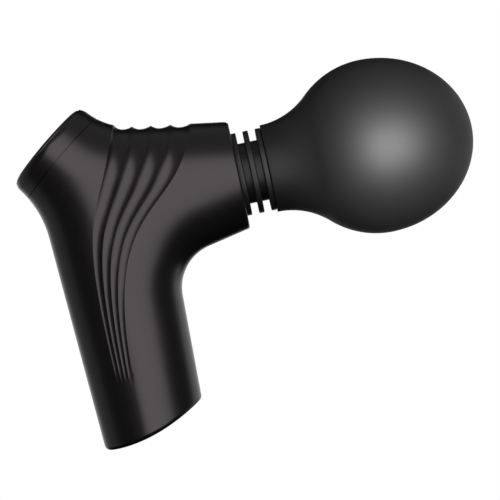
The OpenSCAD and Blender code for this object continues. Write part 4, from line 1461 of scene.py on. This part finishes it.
@dataclass
class Fittings:
    """Screws in the left shell and the charging inlet in the foot.

    Attributes:
        head_side: Height of a screw head's side as a share of its height.
        head_flat: Radius of its flat top as a share of its radius.
        screw_edges: Rounding of a screw's tip, seat, head side and head top.
        screw_turn: Turn of each screw's recess against the one before.
        recess: Length, width and height of the tool that cuts half of the recess.
        tongue: Thickness, width and length of the inlet's tongue.
    """

    house: Housing
    screw_r: float = 1
    head_r: float = 1.9
    head_h: float = 1.8
    head_side: float = 0.6
    head_flat: float = 0.62
    screw_edges: tuple[float, ...] = (0.3, 0.15, 0.3, 0.5)
    screw_turn: float = 37
    recess: Triple = (2.3, 0.5, 2.0)
    shank: float = 7
    inlet_size: Pair = (9.2, 3.4)
    inlet_wall: float = 0.3
    inlet_h: float = 7.8
    inlet_z: float = -32.2
    inlet_floor: float = 1
    tongue: Triple = (0.7, 6.6, 6.5)
    tongue_rise: float = 4.25
    tongue_edge: float = 0.12

    def build(self) -> None:
        """Make the screws and the inlet."""
        seat = self.house.head_seat_y
        frames = [self.house.along_screw(x, seat, z) @ turned(self.screw_turn * number, "Z")
                  for number, (x, z) in enumerate(self.house.bosses)]
        obj = scatter("shell_screws", self.screw(), frames)
        smooth(obj)
        finish_piece(obj, "housing", ZINC, ["housing_screws"])
        self.inlet()

    def screw(self) -> bpy.types.Object:
        """Pan-head screw with a cross recess, its seat at z 0.

        Returns:
            The screw.
        """
        r, h = self.head_r, self.head_h
        tip, seat, side, top = self.screw_edges
        length = self.shank + self.house.head_seat_y
        corners = [(0, -length, 0), (self.screw_r, -length, tip), (self.screw_r, 0, 0), (r, 0, seat),
                   (r, h * self.head_side, side), (r * self.head_flat, h, top), (0, h, 0)]
        obj = lathe("screw", rounded(corners), Matrix.Identity(4), Facets.SCREW)
        for angle in (0, 90):
            combine(obj, block("recess", self.recess, turned(angle, "Z") @ Matrix.Translation((0, 0, h))))
        return obj

    def inlet(self) -> None:
        """Charging inlet: a drawn steel sleeve with its tongue."""
        x = self.house.inlet_x
        low, high = self.inlet_z, self.inlet_z + self.inlet_h
        obj = stadium("charging_inlet", x, self.inlet_size, low, high)
        width, thick = (side - 2 * self.inlet_wall for side in self.inlet_size)
        combine(obj, stadium("inner", x, (width, thick), low - self.inlet_floor, high - self.inlet_floor))
        tongue = block("tongue", self.tongue, Matrix.Translation((x, 0, low + self.tongue_rise)))
        with editing(tongue):
            bpy.ops.mesh.bevel(offset=self.tongue_edge * MM, segments=2)
        combine(obj, tongue, Shaping.ADD)
        smooth(obj)
        finish_piece(obj, "housing", STEEL, ["usb_socket"])


@dataclass(frozen=True)
class Flag:
    """Card of the light tent: place from the object's middle, side that it faces, size and brightness."""

    name: str
    offset: Triple
    facing: Triple
    size: Pair
    level: float


TENT = (
    Flag("left_flag", (-0.8, -0.5, 0), (1, 0, 0), (1.0, 2.0), 0.04),
    Flag("left_back_flag", (-0.8, 0.4, 0), (1, 0, 0), (0.8, 2.0), 0.28),
    Flag("right_flag", (0.8, -0.3, 0), (-1, 0, 0), (1.4, 2.0), 0.03),
    Flag("right_back_flag", (0.8, 0.6, 0), (-1, 0, 0), (0.4, 2.0), 1.0),
    Flag("roof_flag", (0, -0.075, 0.6), (0, 0, -1), (5.4, 0.95), 0.25),
    Flag("top_flag", (0, 2.2, 0.6), (0, 0, -1), (5.4, 3.6), 0.0),
    Flag("low_flag", (0, 1.725, -0.6), (0, 0, 1), (5.4, 4.55), 0.0),
    Flag("back_flag", (0, 0.8, 0), (0, -1, 0), (2.4, 0.5), 0.45),
    Flag("front_flag", (0, -1.0, 0), (0, 1, 0), (4.0, 3.0), 0.1),
)


@dataclass
class Studio:
    """Camera, lights, floor and white surround.

    Attributes:
        centre: Point of the middle plane that the camera faces.
        width: Width of the view at that plane.
        key: Brightness of the key, where 1 is white.
        key_shift: Place of the key to the right of the centre and above it.
        fill: Brightness of the fill.
        ambient: Brightness of the surround as a light.
        spot_aim: Point of the ball that the spots face.
        spot_away: Middle of the spots' ring from that point.
        spot_reach: Radius of a spot's pool of light.
        floor_white: Share of plain white in the floor as the camera sees it.
    """

    centre: Pair = (0.05265, 0.0317)
    roll: float = 12
    lens: float = 216
    width: float = 0.2
    sensor: float = 36
    clip: Pair = (0.05, 50)
    floor_z: float = -1.3
    floor_r: float = 12
    floor_sides: int = 96
    floor_tone: float = 0.86
    floor_white: float = 0.96
    key: float = 2.2
    key_size: Pair = (1.26, 1.4)
    key_shift: Pair = (0.17, 0.08)
    key_off: float = 0.75
    fill: float = 0.55
    fill_size: Pair = (1.1, 0.6)
    ambient: float = 0.3
    spot_power: float = 32.0
    spot_count: int = 6
    spot_ring: float = 0.26
    spot_soft: float = 0.012
    spot_blend: float = 0.7
    spot_aim: Triple = (0.113, 0, 0.0605)
    spot_away: Triple = (0.2, -0.9, -0.09)
    spot_reach: float = 0.043
    flags: tuple[Flag, ...] = TENT

    def camera(self) -> None:
        """Side view from the right, rolled so that the barrel rises."""
        data = bpy.data.cameras.new("camera")
        data.lens, data.sensor_width = self.lens, self.sensor
        data.clip_start, data.clip_end = self.clip
        obj = linked("camera", data)
        away = self.width * self.lens / self.sensor
        turn = turned(90, "X") @ turned(-self.roll, "Z")
        obj.matrix_world = Matrix.Translation((self.centre[0], -away, self.centre[1])) @ turn
        bpy.context.scene.camera = obj

    def softbox(self, name: str, place: Sequence[float], aim: Sequence[float], size: Pair,
                radiance: float) -> None:
        """Area light of a given radiance.

        Args:
            name: Object name.
            place: Its middle.
            aim: Point that it faces.
            size: Width and height.
            radiance: Brightness of its face, where 1 is white.
        """
        data = bpy.data.lights.new(name, "AREA")
        data.shape = "RECTANGLE"
        data.size, data.size_y = size
        data.energy = radiance * math.pi * size[0] * size[1]
        self.aim_light(data, Vector(place), Vector(aim))

    @staticmethod
    def aim_light(data: bpy.types.Light, place: Vector, aim: Vector) -> None:
        """Hang a light at a place, turned to a point and out of the camera's sight.

        Args:
            data: The light.
            place: Its place.
            aim: Point that it faces.
        """
        obj = linked(data.name, data)
        obj.location = place
        obj.rotation_mode = "QUATERNION"
        obj.rotation_quaternion = (aim - place).to_track_quat("-Z", "Y")
        obj.visible_camera = False

    def white_ray(self, tree: Tree) -> Sock:
        """1 for camera, glossy and transmission rays.

        Args:
            tree: Tree that gets the nodes.

        Returns:
            The value.
        """
        path = tree.node("ShaderNodeLightPath")
        names = ("Is Camera Ray", "Is Glossy Ray", "Is Transmission Ray")
        seen, glossy, through = (Sock(tree, path.outputs[name]) for name in names)
        return seen.largest(glossy).largest(through)

    def world(self) -> None:
        """Even dim light that looks white to the camera."""
        world = bpy.data.worlds.new("surround")
        bpy.context.scene.world = world
        tree = Tree(world)
        strength = self.ambient + self.white_ray(tree) * (1 - self.ambient)
        back = tree.node("ShaderNodeBackground", {}, {"Color": (1, 1, 1, 1), "Strength": strength})
        tree.node("ShaderNodeOutputWorld", {}, {"Surface": back.outputs[0]})

    def card(self, flag: Flag) -> None:
        """Stand up one flag of the tent, out of the camera's sight.

        Args:
            flag: The flag.
        """
        obj = added(flag.name, bpy.ops.mesh.primitive_plane_add, size=1)
        middle = Vector((self.centre[0], 0, self.centre[1])) + Vector(flag.offset)
        turn = Vector(flag.facing).to_track_quat("Z", "Y").to_matrix().to_4x4()
        obj.data.transform(Matrix.Translation(middle) @ turn @ Matrix.Diagonal((*flag.size, 1, 1)))
        made = bpy.data.materials.new(flag.name)
        tree = Tree(made)
        glow = tree.node("ShaderNodeEmission", {}, {"Color": (*[flag.level] * 3, 1), "Strength": 1.0})
        tree.node("ShaderNodeOutputMaterial", {}, {"Surface": glow.outputs[0]})
        obj.data.materials.append(made)
        obj.visible_camera = False
        obj.visible_shadow = False

    def floor(self) -> None:
        """Pale floor that keeps a soft shadow."""
        obj = added("floor", bpy.ops.mesh.primitive_circle_add, vertices=self.floor_sides,
                    radius=self.floor_r, fill_type="NGON")
        obj.data.transform(Matrix.Translation((0, 0, self.floor_z)))
        made = bpy.data.materials.new("floor_pale")
        tree = Tree(made)
        plain = tree.node("ShaderNodeBsdfDiffuse", {}, {"Color": (*[self.floor_tone] * 3, 1)})
        glow = tree.node("ShaderNodeEmission", {}, {"Color": (1, 1, 1, 1), "Strength": 1.0})
        share = self.white_ray(tree) * self.floor_white
        both = tree.node("ShaderNodeMixShader", {}, {0: share, 1: plain.outputs[0], 2: glow.outputs[0]})
        tree.node("ShaderNodeOutputMaterial", {}, {"Surface": both.outputs[0]})
        obj.data.materials.append(made)

    def build(self) -> None:
        """Set the stage."""
        bpy.context.scene.view_settings.view_transform = "Standard"
        self.camera()
        self.world()
        self.floor()
        x, z = self.centre
        right, up = self.key_shift
        self.softbox("key", (x + right, -self.key_off, z + up), (x, 0, z), self.key_size, self.key)
        self.softbox("fill", (x, self.key_off, z), (x, 0, z), self.fill_size, self.fill)
        self.spots()
        for flag in self.flags:
            self.card(flag)

    def spots(self) -> None:
        """Ring of narrow spots from the camera's side on the ball alone."""
        aim = Vector(self.spot_aim)
        away = Vector(self.spot_away)
        for number in range(self.spot_count):
            turn = math.tau * number / self.spot_count
            place = aim + away + self.spot_ring * Vector((math.cos(turn), 0, math.sin(turn)))
            data = bpy.data.lights.new("head_spot", "SPOT")
            data.energy = self.spot_power
            data.shadow_soft_size = self.spot_soft
            data.spot_size = 2 * math.atan(self.spot_reach / away.length)
            data.spot_blend = self.spot_blend
            self.aim_light(data, place, aim)


def dress_insides(nodes: dict[str, bpy.types.Object]) -> None:
    """Give each inner node of the frame its finish.

    Args:
        nodes: Node name to its object.
    """
    for finish, names in CAD_FINISHES.items():
        for name in names:
            slots = nodes[name].material_slots
            for number in range(len(slots)):
                slots[number].material = finish.material()
            if not slots:
                nodes[name].data.materials.append(finish.material())
            LOG.info("%s: %s", name, finish.name)


def main() -> None:
    """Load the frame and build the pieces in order."""
    logging.basicConfig(level=logging.INFO, format="%(name)s: %(message)s")
    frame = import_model()
    Studio().build()
    house = Housing()
    house.build()
    ControlCap(house).build()
    Head(house).build()
    Fittings(house).build()
    dress_insides(frame["nodes"])


if __name__ == "__main__":
    main()
